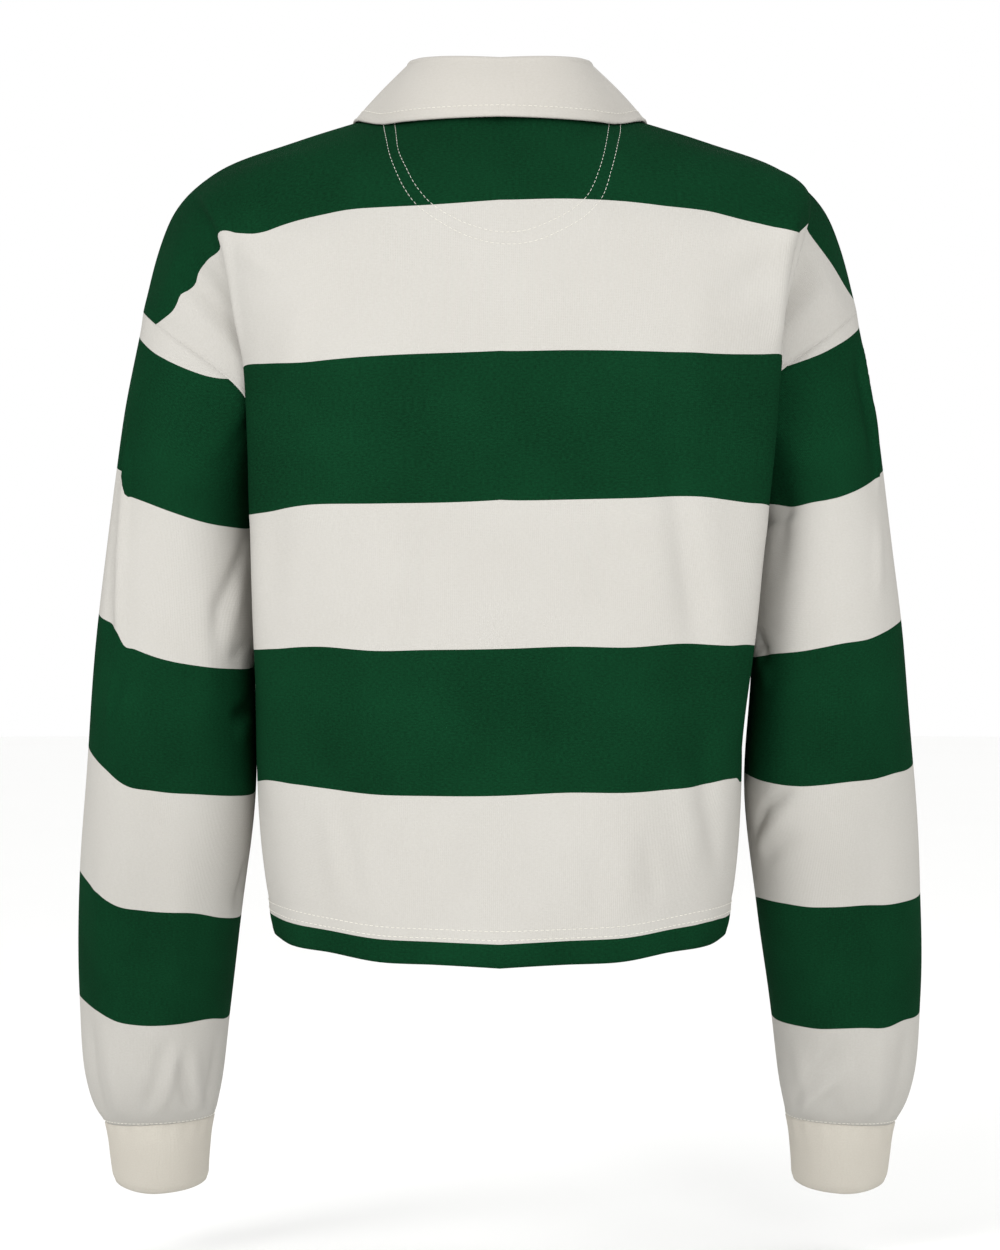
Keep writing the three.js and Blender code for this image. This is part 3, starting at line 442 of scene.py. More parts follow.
@dataclass
class Cloth:
    """A piece of cloth: a grid of points in its middle, with normals and places on the cloth in millimetres."""

    name: str
    points: Array
    normals: Array
    places: Array
    thickness: float
    closed: bool = False
    extra: Optional[Array] = None
    present: Optional[Array] = None

    def drawn_in(self, gap: float) -> "Cloth":
        """Draws the edges in by half a seam gap.

        Args:
            gap: space between two pieces at a seam, in millimetres.

        Returns:
            The same cloth.
        """
        p = self.points
        p[0], p[-1] = [p[a] + unit(p[b] - p[a]) * gap / 2 for a, b in ((0, 1), (-1, -2))]
        if not self.closed:
            first = p[:, 0] + unit(p[:, 1] - p[:, 0]) * gap / 2
            last = p[:, -1] + unit(p[:, -2] - p[:, -1]) * gap / 2
            p[:, 0], p[:, -1] = first, last
        return self

    def build(self, material: bpy.types.Material) -> bpy.types.Object:
        """Makes the closed wall of the cloth, with rounded edges.

        Args:
            material: the cloth's finish.

        Returns:
            The new object.
        """
        rows, columns = self.points.shape[:2]
        half = self.thickness / 2
        extra = np.zeros(rows) if self.extra is None else self.extra
        outer = self.points + self.normals * half
        inner = self.points - self.normals * (half + extra)[:, None, None]
        spans = columns if self.closed else columns - 1
        r, c = np.meshgrid(np.arange(rows - 1), np.arange(spans), indexing="ij")
        keep = np.ones(r.shape, bool) if self.present is None else self.present
        around = columns if self.closed else 10 ** 9
        vertices = [outer.reshape(-1, 3), inner.reshape(-1, 3)]
        layer = rows * columns
        faces: list[Array] = []
        place_of: list[Array] = []

        def corners(rr: Array, cc: Array, on: int) -> tuple[Array, Array]:
            """Vertex numbers and places of grid points on the outer (0) or inner (1) face."""
            where = self.places[rr, np.minimum(cc, columns - 1)].copy()
            if self.closed:
                last = cc == columns
                where[last] = self.places[rr[last], 0]
                where[last, 0] += ROUND_MM
            return on * layer + rr * columns + cc % around, where

        def add(quads: Sequence[tuple[Array, Array]]) -> None:
            """Adds quads given as four (numbers, places) pairs."""
            faces.append(np.stack([q[0] for q in quads], -1))
            place_of.append(np.stack([q[1] for q in quads], -2))

        rk, ck = r[keep], c[keep]
        add([corners(rk, ck, 0), corners(rk + 1, ck, 0), corners(rk + 1, ck + 1, 0), corners(rk, ck + 1, 0)])
        add([corners(rk, ck, 1), corners(rk, ck + 1, 1), corners(rk + 1, ck + 1, 1), corners(rk + 1, ck, 1)])
        padded = np.pad(keep, 1, constant_values=False)
        if self.closed:
            padded[1:-1, 0], padded[1:-1, -1] = keep[:, -1], keep[:, 0]
        mid_number: dict[tuple[int, int], int] = {}
        mids: list[Array] = []

        def rim(mask: Array, a: tuple[int, int], b: tuple[int, int], away: tuple[int, int]) -> None:
            """Closes one side of every masked cell with two quads that bulge outwards."""
            rr, cc = r[mask], c[mask]
            if not len(rr):
                return
            ra, ca, rb, cb = rr + a[0], cc + a[1], rr + b[0], cc + b[1]

            def middle(rm: Array, cm: Array) -> Array:
                """Numbers of the bulging edge points."""
                out = []
                for x, y in zip(rm, cm % around):
                    key = (int(x), int(y))
                    if key not in mid_number:
                        back_r = min(max(x - away[0], 0), rows - 1)
                        back_c = (y - away[1]) % columns if self.closed else min(max(y - away[1], 0), columns - 1)
                        outward = unit(self.points[x, y] - self.points[back_r, back_c])
                        centre = (outer[x, y] + inner[x, y]) / 2
                        mid_number[key] = 2 * layer + len(mids)
                        mids.append(centre + outward * EDGE_BULGE * self.thickness)
                    out.append(mid_number[key])
                return np.array(out)

            oa, ob = corners(ra, ca, 0), corners(rb, cb, 0)
            ia, ib = corners(ra, ca, 1), corners(rb, cb, 1)
            ma, mb = (middle(ra, ca), oa[1]), (middle(rb, cb), ob[1])
            add([oa, ob, mb, ma])
            add([ma, mb, ib, ia])

        rim(keep & ~padded[:-2, 1:-1], (0, 0), (0, 1), (-1, 0))
        rim(keep & ~padded[2:, 1:-1], (1, 1), (1, 0), (1, 0))
        rim(keep & ~padded[1:-1, :-2], (1, 0), (0, 0), (0, -1))
        rim(keep & ~padded[1:-1, 2:], (0, 1), (1, 1), (0, 1))
        if mids:
            vertices.append(np.array(mids))
        quads = np.concatenate(faces)
        where = np.concatenate(place_of)
        # The grid's rows go down and its columns along, so a face that should look out may need turning.
        down = self.points[rows // 2 + 1, columns // 3] - self.points[rows // 2, columns // 3]
        along = self.points[rows // 2, columns // 3 + 1] - self.points[rows // 2, columns // 3]
        if np.dot(np.cross(down, along), self.normals[rows // 2, columns // 3]) < 0:
            quads, where = quads[:, ::-1], where[:, ::-1]
        used, numbers = np.unique(quads, return_inverse=True)
        return mesh_object(self.name, np.concatenate(vertices)[used], numbers.reshape(quads.shape), where, material)


def mesh_object(name: str, points: Array, faces: Array, places: Optional[Array],
                material: bpy.types.Material) -> bpy.types.Object:
    """Makes a smooth mesh object.

    Args:
        name: the piece's name.
        points: its points, in millimetres.
        faces: vertex numbers, one row a face.
        places: the place on the cloth of each corner of each face, in millimetres, or None.
        material: its finish.

    Returns:
        The new object, linked to the scene.
    """
    mesh = bpy.data.meshes.new(name)
    size = faces.shape[1]
    mesh.vertices.add(len(points))
    mesh.vertices.foreach_set("co", (points * MM).astype(np.float32).ravel())
    mesh.loops.add(faces.size)
    mesh.loops.foreach_set("vertex_index", faces.astype(np.int32).ravel())
    mesh.polygons.add(len(faces))
    mesh.polygons.foreach_set("loop_start", np.arange(len(faces), dtype=np.int32) * size)
    mesh.polygons.foreach_set("use_smooth", np.ones(len(faces), bool))
    if places is not None:
        layer = mesh.uv_layers.new(name="cloth")
        layer.data.foreach_set("uv", (places * MM).astype(np.float32).ravel())
    mesh.update(calc_edges=True)
    mesh.validate()
    mesh.materials.append(material)
    item = bpy.data.objects.new(name, mesh)
    bpy.context.scene.collection.objects.link(item)
    return item


def grid_normals(points: Array, closed: bool, outwards: float) -> Array:
    """Normals of a grid of points.

    Args:
        points: the grid.
        closed: whether its rows close on themselves.
        outwards: 1 or -1, which of the two directions is wanted.

    Returns:
        A unit normal for each point.
    """
    down = np.gradient(points, axis=0)
    if closed:
        along = np.roll(points, -1, axis=1) - np.roll(points, 1, axis=1)
    else:
        along = np.gradient(points, axis=1)
    return unit(np.cross(along, down)) * outwards


def drawn_stripes(rows: Sequence[StripeRow], changes: Sequence[float], u: Array, v: Array) -> Array:
    """Even courses for places on cloth whose stripes have been drawn a little out of line.

    Args:
        rows: how far the stripes have moved, from one side of the cloth to the other.
        changes: where the even changes of colour lie.
        u: places across the cloth.
        v: places along it.

    Returns:
        The course that each place would have if the stripes were even.
    """
    across = np.array([row.across for row in rows], float)
    shifts = through(across, np.array([row.shifts for row in rows], float), u.ravel())
    even = np.array([changes[0] - STRIPE_MARGIN, *changes, changes[-1] + STRIPE_MARGIN], float)
    moved = np.concatenate([shifts[:, :1], shifts, shifts[:, -1:]], 1) + even
    return through(moved, even[:, None], v.ravel()).reshape(u.shape)


def surface_frame(middle: Callable[[Array, Array], Array], u: Array, v: Array, outwards: float) -> tuple[Array, Array]:
    """Points and normals of a surface at places on its cloth.

    Args:
        middle: gives the surface's points.
        u: places across the cloth.
        v: places along it.
        outwards: 1 or -1, which of the two directions is wanted.

    Returns:
        The points and their unit normals.
    """
    along = middle(u + FRAME_STEP, v) - middle(u - FRAME_STEP, v)
    down = middle(u, v + FRAME_STEP) - middle(u, v - FRAME_STEP)
    return middle(u, v), unit(np.cross(along, down)) * outwards


@dataclass
class Panel:
    """A body panel: its shape at any place, its folds, and its mesh."""

    face: Face
    top: CourseRow
    top_course: dict[str, float]
    yoke: CourseRow
    sections: tuple[CourseRow, ...]
    folds: tuple[Fold, ...]
    seed: int
    stripes: tuple[StripeRow, ...] = ()
    slit: Optional[tuple[float, float]] = None

    def top_of(self, u: Array) -> Array:
        """Course of the panel's top edge at places across it."""
        values = np.array([self.top_course[name] for name in STATIONS], float)
        return cornered(values[:, None], np.abs(np.ravel(u)) / STATION_MM).reshape(np.shape(u))

    def middle(self, u: Array, v: Array) -> Array:
        """Points in the middle of the cloth, without its folds.

        Args:
            u: places across the cloth, from the centre line, positive on the left side.
            v: courses.

        Returns:
            One point for each place.
        """
        u, v = np.broadcast_arrays(np.asarray(u, float), np.asarray(v, float))
        points = np.empty((*u.shape, 3))
        for side in Side:
            mask = (u >= 0) if side is Side.LEFT else (u < 0)
            if not mask.any():
                continue
            station, course = np.abs(u[mask]) / STATION_MM, v[mask]
            top = self.top_of(u[mask])
            knots = [top, top + (FIRST_STRIPE - top) * YOKE_SHARE]
            values = [cornered(self.top.points(side), station), through(STATION_KNOTS, self.yoke.points(side), station)]
            for row in self.sections:
                knots.append(np.full(len(top), float(row.course)))
                values.append(through(STATION_KNOTS, row.points(side), station))
            found = through(np.stack(knots, 1), np.stack(values, 1), course)
            found[:, 0] *= side.value
            points[mask] = found
        return points

    def relief(self, u: Array, v: Array) -> Array:
        """Height of the folds, of the seams' pull and of the gentle waves."""
        total = unevenness(u, v, self.seed, 0.7, 170)
        for fold in self.folds:
            total += fold.relief(u, v)
        edge = STATION_MM - np.abs(u)
        top = v - self.top_of(u)
        calm = np.clip(np.minimum(edge, np.abs(top)) / 14, 0, 1)
        hem = np.clip((HEM - v) / 5, 0, 1)
        fold_line = np.exp(-((v - (HEM - HEM_TURN_UP)) / 3.2) ** 2) * (0.5 + 0.25 * np.sin(u / 9.0 + self.seed))
        return total * calm * calm * (3 - 2 * calm) * (0.35 + 0.65 * hem) + 0.5 * np.exp(-(edge / 5) ** 2) \
            - 0.45 * fold_line + 0.5 * np.exp(-((v - (HEM - 10)) / 7) ** 2)

    def frame(self, u: Array, v: Array) -> tuple[Array, Array]:
        """Points with the folds, and normals, at places on the cloth."""
        points, normals = surface_frame(self.middle, u, v, self.face.value)
        return points + normals * self.relief(u, v)[..., None], normals

    def grid(self, columns: Array, rows: int, body: Array) -> Array:
        """Places of the mesh's points.

        Args:
            columns: places across the cloth.
            rows: how many rows lie above the first stripe.
            body: the courses below it.

        Returns:
            Places, rows first.
        """
        top = self.top_of(columns)
        shares = np.linspace(0, 1, rows, endpoint=False)
        upper = top[None] + (FIRST_STRIPE - top)[None] * shares[:, None]
        v = np.concatenate([upper, np.broadcast_to(body[:, None], (len(body), len(columns)))])
        return np.stack([np.broadcast_to(columns, v.shape), v], -1)


@dataclass(frozen=True)
class Armhole:
    """Where the panels' edges meet the sleeve: half a turn of the sleeve for the back and half for the front."""

    turns: Array
    faces: Array
    courses: Array

    @classmethod
    def of(cls, back: Panel, front: Panel) -> "Armhole":
        """Measures the armhole along both panels' edges."""
        down = np.linspace(SHOULDER_COURSE["seam"], UNDERARM, 90)
        courses = np.concatenate([down, down[::-1][1:]])
        faces = np.concatenate([np.ones(90), -np.ones(89)])
        edge = np.full(90, STATION_MM)
        points = np.concatenate([back.middle(edge, down), front.middle(edge, down)[::-1][1:]])
        along = np.concatenate([[0], np.cumsum(np.linalg.norm(np.diff(points, axis=0), axis=1))])
        half = along[89]
        turns = np.where(along <= half, along / half, 1 + (along - half) / (along[-1] - half)) * math.pi
        return cls(turns, faces, courses)

    def course(self, turn: Array) -> Array:
        """Course of the panel's edge at angles round the sleeve."""
        return np.interp(np.mod(turn, 2 * math.pi), self.turns, self.courses)

    def turn(self, course: Array, face: Face) -> Array:
        """Angle round the sleeve of courses of a panel's edge."""
        if face is Face.BACK:
            return np.interp(course, self.courses[:90], self.turns[:90])
        return np.interp(course, self.courses[89:][::-1], self.turns[89:][::-1])


@dataclass
class Sleeve:
    """A sleeve: its shape at any place, its folds, and its mesh."""

    side: Side
    back: Panel
    front: Panel
    armhole: Armhole
    folds: tuple[Fold, ...]
    stripes: tuple[StripeRow, ...]
    seed: int

    @staticmethod
    def cap(turn: Array) -> Array:
        """Length at which the sleeve starts, from 0 at the shoulder tip."""
        return CAP_HEIGHT * ((1 - np.cos(turn)) / 2) ** CAP_POWER

    def middle(self, u: Array, v: Array) -> Array:
        """Points in the middle of the cloth, without its folds.

        Args:
            u: places round the sleeve, from its outer line round by the back.
            v: lengths down from the shoulder tip.

        Returns:
            One point for each place.
        """
        u, v = np.broadcast_arrays(np.asarray(u, float), np.asarray(v, float))
        turn = np.mod(u.ravel() / ROUND_MM, 1) * 2 * math.pi
        length = v.ravel()
        edge = np.full(turn.shape, STATION_MM * self.side.value)
        course = self.armhole.course(turn)
        seam = np.where((turn <= math.pi)[:, None], self.back.middle(edge, course), self.front.middle(edge, course))
        cap = self.cap(turn)
        knots = [cap, cap + (SLEEVE_SECTIONS[0].length - cap) * SLEEVE_CAP_REACH]
        values = [seam, SLEEVE_CAP.points(turn, self.side)]
        for row in SLEEVE_SECTIONS:
            knots.append(np.full(turn.shape, row.length, float))
            values.append(row.points(turn, self.side))
        return through(np.stack(knots, 1), np.stack(values, 1), length).reshape(*u.shape, 3)

    def relief(self, u: Array, v: Array) -> Array:
        """Height of the folds, of the seams' pull and of the gentle waves."""
        turn = u / ROUND_MM * 2 * math.pi
        total = unevenness(np.sin(turn) * 70, v + np.cos(turn) * 40, self.seed, 0.8, 150)
        for fold in self.folds:
            total += fold.relief(np.mod(u, ROUND_MM), v, ROUND_MM)
        top = v - self.cap(turn)
        calm = np.clip(np.minimum(top, SLEEVE_SECTIONS[-1].length - v) / 16, 0, 1)
        return total * calm * calm * (3 - 2 * calm) + 0.4 * np.exp(-(top / 5) ** 2)

    def frame(self, u: Array, v: Array) -> tuple[Array, Array]:
        """Points with the folds, and normals, at places on the cloth."""
        points, normals = surface_frame(self.middle, u, v, -self.side.value)
        return points + normals * self.relief(u, v)[..., None], normals

    def cloth(self, columns: int, rows: int) -> Cloth:
        """The sleeve as a grid.

        Args:
            columns: points round it.
            rows: points along it.

        Returns:
            The cloth, mitred against the panels along the armhole.
        """
        u = np.arange(columns) * ROUND_MM / columns
        cap = self.cap(u / ROUND_MM * 2 * math.pi)
        share = np.linspace(0, 1, rows)[:, None]
        v = cap + (SLEEVE_SECTIONS[-1].length - cap) * share
        u = np.broadcast_to(u, v.shape)
        points, normals = self.frame(u, np.clip(v, cap + 0.9, None))
        edge, _ = self.frame(u[0], v[0] + 1e-6)
        points[0] = edge
        normals = grid_normals(points, True, -self.side.value)
        turn = u[0] / ROUND_MM * 2 * math.pi
        side = np.full(turn.shape, (STATION_MM - 0.9) * self.side.value)
        course = self.armhole.course(turn)
        behind, before = (panel.frame(side, course)[1] for panel in (self.back, self.front))
        panel = np.where((turn <= math.pi)[:, None], behind, before)
        mitre = (normals[0] * panel).sum(1) > MITRE_AGREEMENT
        normals[0][mitre] = unit(normals[0] + panel)[mitre]
        even = np.minimum(drawn_stripes(self.stripes, SLEEVE_CHANGES, u, v), SLEEVE_CHANGES[-1] + STRIPE - 1)
        places = np.stack([u, even + SLEEVE_STRIPE_SHIFT], -1)
        return Cloth(f"sleeve_{self.side.name.lower()}_cloth", points, normals, places, JERSEY, closed=True)


@dataclass
class Cuff:
    """A knitted cuff below a sleeve."""

    side: Side

    def middle(self, u: Array, v: Array) -> Array:
        """Points in the middle of the knit, round and down from the seam."""
        u, v = np.broadcast_arrays(np.asarray(u, float), np.asarray(v, float))
        turn = np.mod(u.ravel() / ROUND_MM, 1) * 2 * math.pi
        knots = np.array([row.length for row in CUFF_SECTIONS], float)
        values = np.stack([row.points(turn, self.side) for row in CUFF_SECTIONS], 1)
        return through(knots, values, v.ravel()).reshape(*u.shape, 3)

    def relief(self, u: Array, v: Array) -> Array:
        """Gentle waves and a slight roll at the folded lower edge."""
        turn = u / ROUND_MM * 2 * math.pi
        length = CUFF_SECTIONS[-1].length
        waves = unevenness(np.sin(turn) * 50, v + np.cos(turn) * 30, 31, 0.5, 90)
        gathers = 0.35 * np.sin(turn * 17 + 0.6 * np.sin(turn * 3)) * np.exp(-(v / 9) ** 2)
        roll = 1.1 * np.exp(-((length - v - self.shorter(turn)) / 3.2) ** 2)
        return waves + gathers - roll + 0.25

    @staticmethod
    def shorter(turn: Array) -> Array:
        """How much shorter than its solid the knit is, chiefly on the outer side."""
        return 1.2 + 5.0 * np.clip(np.cos(turn), 0, 1) ** 1.5

    def frame(self, u: Array, v: Array) -> tuple[Array, Array]:
        """Points and normals at places on the knit."""
        points, normals = surface_frame(self.middle, u, v, -self.side.value)
        return points + normals * self.relief(u, v)[..., None], normals

    def cloth(self, columns: int, rows: int) -> Cloth:
        """The cuff as a grid."""
        u = np.arange(columns) * ROUND_MM / columns
        v = np.linspace(0, CUFF_SECTIONS[-1].length, rows)
        u, v = np.meshgrid(u, v)
        v = v - self.shorter(u / ROUND_MM * 2 * math.pi) * np.clip(v / CUFF_SECTIONS[-1].length, 0, 1) ** 2
        points, _ = self.frame(u, v)
        normals = grid_normals(points, True, -self.side.value)
        name = f"cuff_{self.side.name.lower()}_knit"
        return Cloth(name, points, normals, np.stack([u, v], -1), CUFF_KNIT, closed=True)


COLLAR_ROLL = 2.4  # half the width of the roll along the fold line
COLLAR_FRONT_GAP = 1.6
COLLAR_BELLY = 1.2
COLLAR_SETTLE = 2.5  # how far the cloth's edge sinks towards the body
STAND_GAP = 0.25
COLLAR_MM = 225.0  # from the centre back to a front end, along the neck seam


@dataclass
class Collar:
    """The stand and fall of the collar, above the neck edge of both panels."""

    back: Panel
    front: Panel
    body: BVHTree

    def clear(self, points: Array, clearance: float) -> Array:
        """Moves points out until they clear the body.

        Args:
            points: what may lie too near.
            clearance: the least distance from the middle of the body's cloth.

        Returns:
            The points, moved where they must be.
        """
        out = points.copy()
        for i, point in enumerate(points):
            place, normal, _, _ = self.body.find_nearest(Vector(point))
            height = (Vector(point) - place).dot(normal)
            if height < clearance:
                out[i] += np.array(normal) * (clearance - height)
        return out

    def profiles(self, turns: Array) -> Array:
        """Profiles of the collar from the foot of the stand to the edge of the fall.

        Args:
            turns: -1 to 1, from the right front end by the centre back to the left front end.

        Returns:
            Points, rows first.
        """
        share = np.abs(turns)
        side = np.where(turns < 0, -1.0, 1.0)
        at_back = share <= 0.5
        u = np.where(at_back, share / 0.5, (1 - share) / 0.5) * STATIONS["neck"] * STATION_MM * side
        base, down, normal = (np.empty((len(turns), 3)) for _ in range(3))
        for panel, mask in ((self.back, at_back), (self.front, ~at_back)):
            top = panel.top_of(u[mask])
            base[mask] = panel.middle(u[mask], top)
            down[mask] = unit(panel.middle(u[mask], top + 6) - base[mask])
            normal[mask] = surface_frame(panel.middle, u[mask], top + 3, panel.face.value)[1]
        ends = share > 0.985
        base[ends, 0] = np.maximum(np.abs(base[ends, 0]), COLLAR_FRONT_GAP) * side[ends]
        knots = np.array([row.turn for row in COLLAR_SECTIONS])
        fold = through(knots, np.array([row.fold for row in COLLAR_SECTIONS], float), share)
        edge = through(knots, np.array([row.edge for row in COLLAR_SECTIONS], float), share)
        fold[:, 0] *= side
        edge[:, 0] *= side
        out = edge - fold
        out[:, 2] = 0
        out = unit(out)
        centre = fold - [0, 0, COLLAR_ROLL]
        stand_top = centre - out * COLLAR_ROLL
        fall_top = centre + out * COLLAR_ROLL
        rise = unit(stand_top - base)
        across = unit(np.cross(rise, np.cross(down, rise)))
        lift = np.full(len(turns), 3.0)
        for step in np.arange(3.0, STAND_GAP, -0.05):
            clears = np.ones(len(turns), bool)
            for half in (COLLAR_CLOTH / 2, -COLLAR_CLOTH / 2):
                corner = rise * step + across * half
                clears &= np.maximum(-(corner * down).sum(1), np.abs((corner * normal).sum(1)) - JERSEY / 2) > STAND_GAP
            lift = np.where(clears & (lift <= step + 0.051), step, lift)
        foot = base + rise * lift[:, None]
        rows = [foot + (stand_top - foot) * s for s in np.linspace(0, 1, 9)]
        rows += [centre - out * COLLAR_ROLL * math.cos(a) + [0, 0, COLLAR_ROLL * math.sin(a)]
                 for a in np.linspace(0, math.pi, 10)[1:-1]]
        swell = unit(out + [0, 0, 0.6])
        clearance = (JERSEY + COLLAR_CLOTH) / 2 + LIE_GAP
        for s in np.linspace(0, 1, 22):
            point = fall_top + (edge - fall_top) * s + swell * COLLAR_BELLY * math.sin(math.pi * s)
            point += swell * (0.9 * math.sin(math.pi * s) * np.sin(turns * 7.3 + 0.6) * 0.5)[:, None]
            point[:, 2] -= COLLAR_SETTLE * s * s * np.sin(math.pi * np.clip(share * 1.6, 0, 1))
            rows.append(self.clear(point, clearance + 0.25 * math.exp(-((1 - s) / 0.08) ** 2)))
        return np.array(rows)

    def cloth(self, columns: int) -> Cloth:
        """The collar as a grid."""
        bunched = np.linspace(-1, 1, columns)
        points = self.profiles(bunched)
        normals = grid_normals(points, False, 1.0)
        rows = len(points)
        steps = np.linalg.norm(np.diff(points, axis=0), axis=2)
        along = np.concatenate([np.zeros((1, columns)), np.cumsum(steps, axis=0)])
        places = np.stack([np.broadcast_to(bunched * COLLAR_MM, (rows, columns)), along], -1)
        return Cloth("collar_cloth", points, normals, places, COLLAR_CLOTH)


def linear(red: int, green: int, blue: int) -> tuple[float, float, float, float]:
    """A display colour from 0 to 255 as the shader's own linear colour."""
    def one(value: int) -> float:
        """One channel."""
        share = value / 255
        return share / 12.92 if share <= 0.04045 else ((share + 0.055) / 1.055) ** 2.4
    return one(red), one(green), one(blue), 1.0


class Weave(Enum):
    """How the yarns of a cloth run, with the width and height of one repeat in metres."""

    JERSEY = (0.00115, 0.0009)
    CUFF = (0.0016, 0.0009)
    TWILL = (0.0009, 0.0009)


class Nodes:
    """A short way to add and join the nodes of one tree."""

    def __init__(self, tree: bpy.types.NodeTree) -> None:
        """Starts on an empty tree."""
        self.tree = tree

    def add(self, kind: str, inputs: Optional[dict[object, object]] = None, **settings: object) -> bpy.types.Node:
        """Adds a node.

        Args:
            kind: its type.
            inputs: a value or another node's socket for each input, by name or number.
            settings: the node's own settings.

        Returns:
            The new node.
        """
        node = self.tree.nodes.new(kind)
        for key, value in settings.items():
            setattr(node, key, value)
        for key, value in (inputs or {}).items():
            if isinstance(value, bpy.types.NodeSocket):
                self.tree.links.new(value, node.inputs[key])
            else:
                node.inputs[key].default_value = value
        return node

    def math(self, operation: str, first: object, second: object = 0.0, third: object = 0.0) -> bpy.types.NodeSocket:
        """Adds a sum and gives its result."""
        return self.add("ShaderNodeMath", {0: first, 1: second, 2: third}, operation=operation).outputs[0]


def group(name: str, inputs: Sequence[tuple[str, str, float]], outputs: Sequence[tuple[str, str]],
          fill: Callable[[Nodes, bpy.types.Node, bpy.types.Node], None]) -> bpy.types.NodeTree:
    """Makes a node group once, or gives the one there is.

    Args:
        name: the group's name.
        inputs: name, socket type and default of each input.
        outputs: name and socket type of each output.
        fill: adds its nodes, given the tree and the two end nodes.

    Returns:
        The group.
    """
    if name in bpy.data.node_groups:
        return bpy.data.node_groups[name]
    tree = bpy.data.node_groups.new(name, "ShaderNodeTree")
    for label, kind, default in inputs:
        socket = tree.interface.new_socket(label, in_out="INPUT", socket_type=kind)
        if kind == "NodeSocketFloat":
            socket.default_value = default
    for label, kind in outputs:
        tree.interface.new_socket(label, in_out="OUTPUT", socket_type=kind)
    nodes = Nodes(tree)
    fill(nodes, nodes.add("NodeGroupInput"), nodes.add("NodeGroupOutput"))
    return tree


def yarn_relief() -> bpy.types.NodeTree:
    """Relief of the loops of a knit: columns of slanted yarns."""
    def fill(nodes: Nodes, start: bpy.types.Node, end: bpy.types.Node) -> None:
        """Adds the nodes."""
        parts = nodes.add("ShaderNodeSeparateXYZ", {0: start.outputs["Place"]})
        across = nodes.math("DIVIDE", parts.outputs[0], start.outputs["Width"])
        lean = nodes.math("ABSOLUTE", nodes.math("SUBTRACT", nodes.math("FRACT", across), 0.5))
        down = nodes.math("DIVIDE", parts.outputs[1], start.outputs["Height"])
        phase = nodes.math("MULTIPLY", nodes.math("ADD", down, lean), 2 * math.pi)
        loop = nodes.math("MULTIPLY_ADD", nodes.math("SINE", phase), 0.25, 0.75)
        column = nodes.math("SINE", nodes.math("MULTIPLY", nodes.math("FRACT", across), math.pi))
        result = nodes.math("MULTIPLY", loop, column)
        nodes.tree.links.new(result, end.inputs["Relief"])
    return group("Yarn relief", [("Place", "NodeSocketVector", 0), ("Width", "NodeSocketFloat", 0.001),
                                 ("Height", "NodeSocketFloat", 0.001)], [("Relief", "NodeSocketFloat")], fill)


def yarn_mottle() -> bpy.types.NodeTree:
    """Fine and broad unevenness of dyed yarn, as two masks."""
    def fill(nodes: Nodes, start: bpy.types.Node, end: bpy.types.Node) -> None:
        """Adds the nodes."""
        squeezed = nodes.add("ShaderNodeVectorMath", {0: start.outputs["Place"], 1: (0.45, 1.0, 1.0)},
                             operation="MULTIPLY").outputs[0]
        fine = nodes.add("ShaderNodeTexNoise", {"Vector": squeezed, "Scale": 1100.0, "Detail": 3.0, "Roughness": 0.7})
        broad = nodes.add("ShaderNodeTexNoise", {"Vector": start.outputs["Place"], "Scale": 16.0, "Detail": 4.0})
        for noise, label in ((fine, "Fine"), (broad, "Broad")):
            stretched = nodes.add("ShaderNodeMapRange", {"Value": noise.outputs[0], "From Min": 0.28, "From Max": 0.72})
            nodes.tree.links.new(stretched.outputs[0], end.inputs[label])
    return group("Yarn mottle", [("Place", "NodeSocketVector", 0)],
                 [("Fine", "NodeSocketFloat"), ("Broad", "NodeSocketFloat")], fill)


@dataclass(frozen=True)
class Dye:
    """A yarn's colour, with its lighter and darker fibres."""

    light: tuple[int, int, int]
    dark: tuple[int, int, int]

    def mix(self, nodes: Nodes, mask: bpy.types.NodeSocket) -> bpy.types.NodeSocket:
        """The colour over the cloth, from the mottle's mask."""
        node = nodes.add("ShaderNodeMix", {"Factor": mask}, data_type="RGBA")
        node.inputs[6].default_value = linear(*self.dark)
        node.inputs[7].default_value = linear(*self.light)
        return node.outputs[2]


CREAM_DYE = Dye((179, 177, 172), (170, 167, 161))
GREEN_DYE = Dye((14, 58, 34), (7, 32, 17))
CUFF_DYE = Dye((191, 187, 177), (182, 176, 166))
COLLAR_DYE = Dye((178, 175, 169), (169, 165, 158))


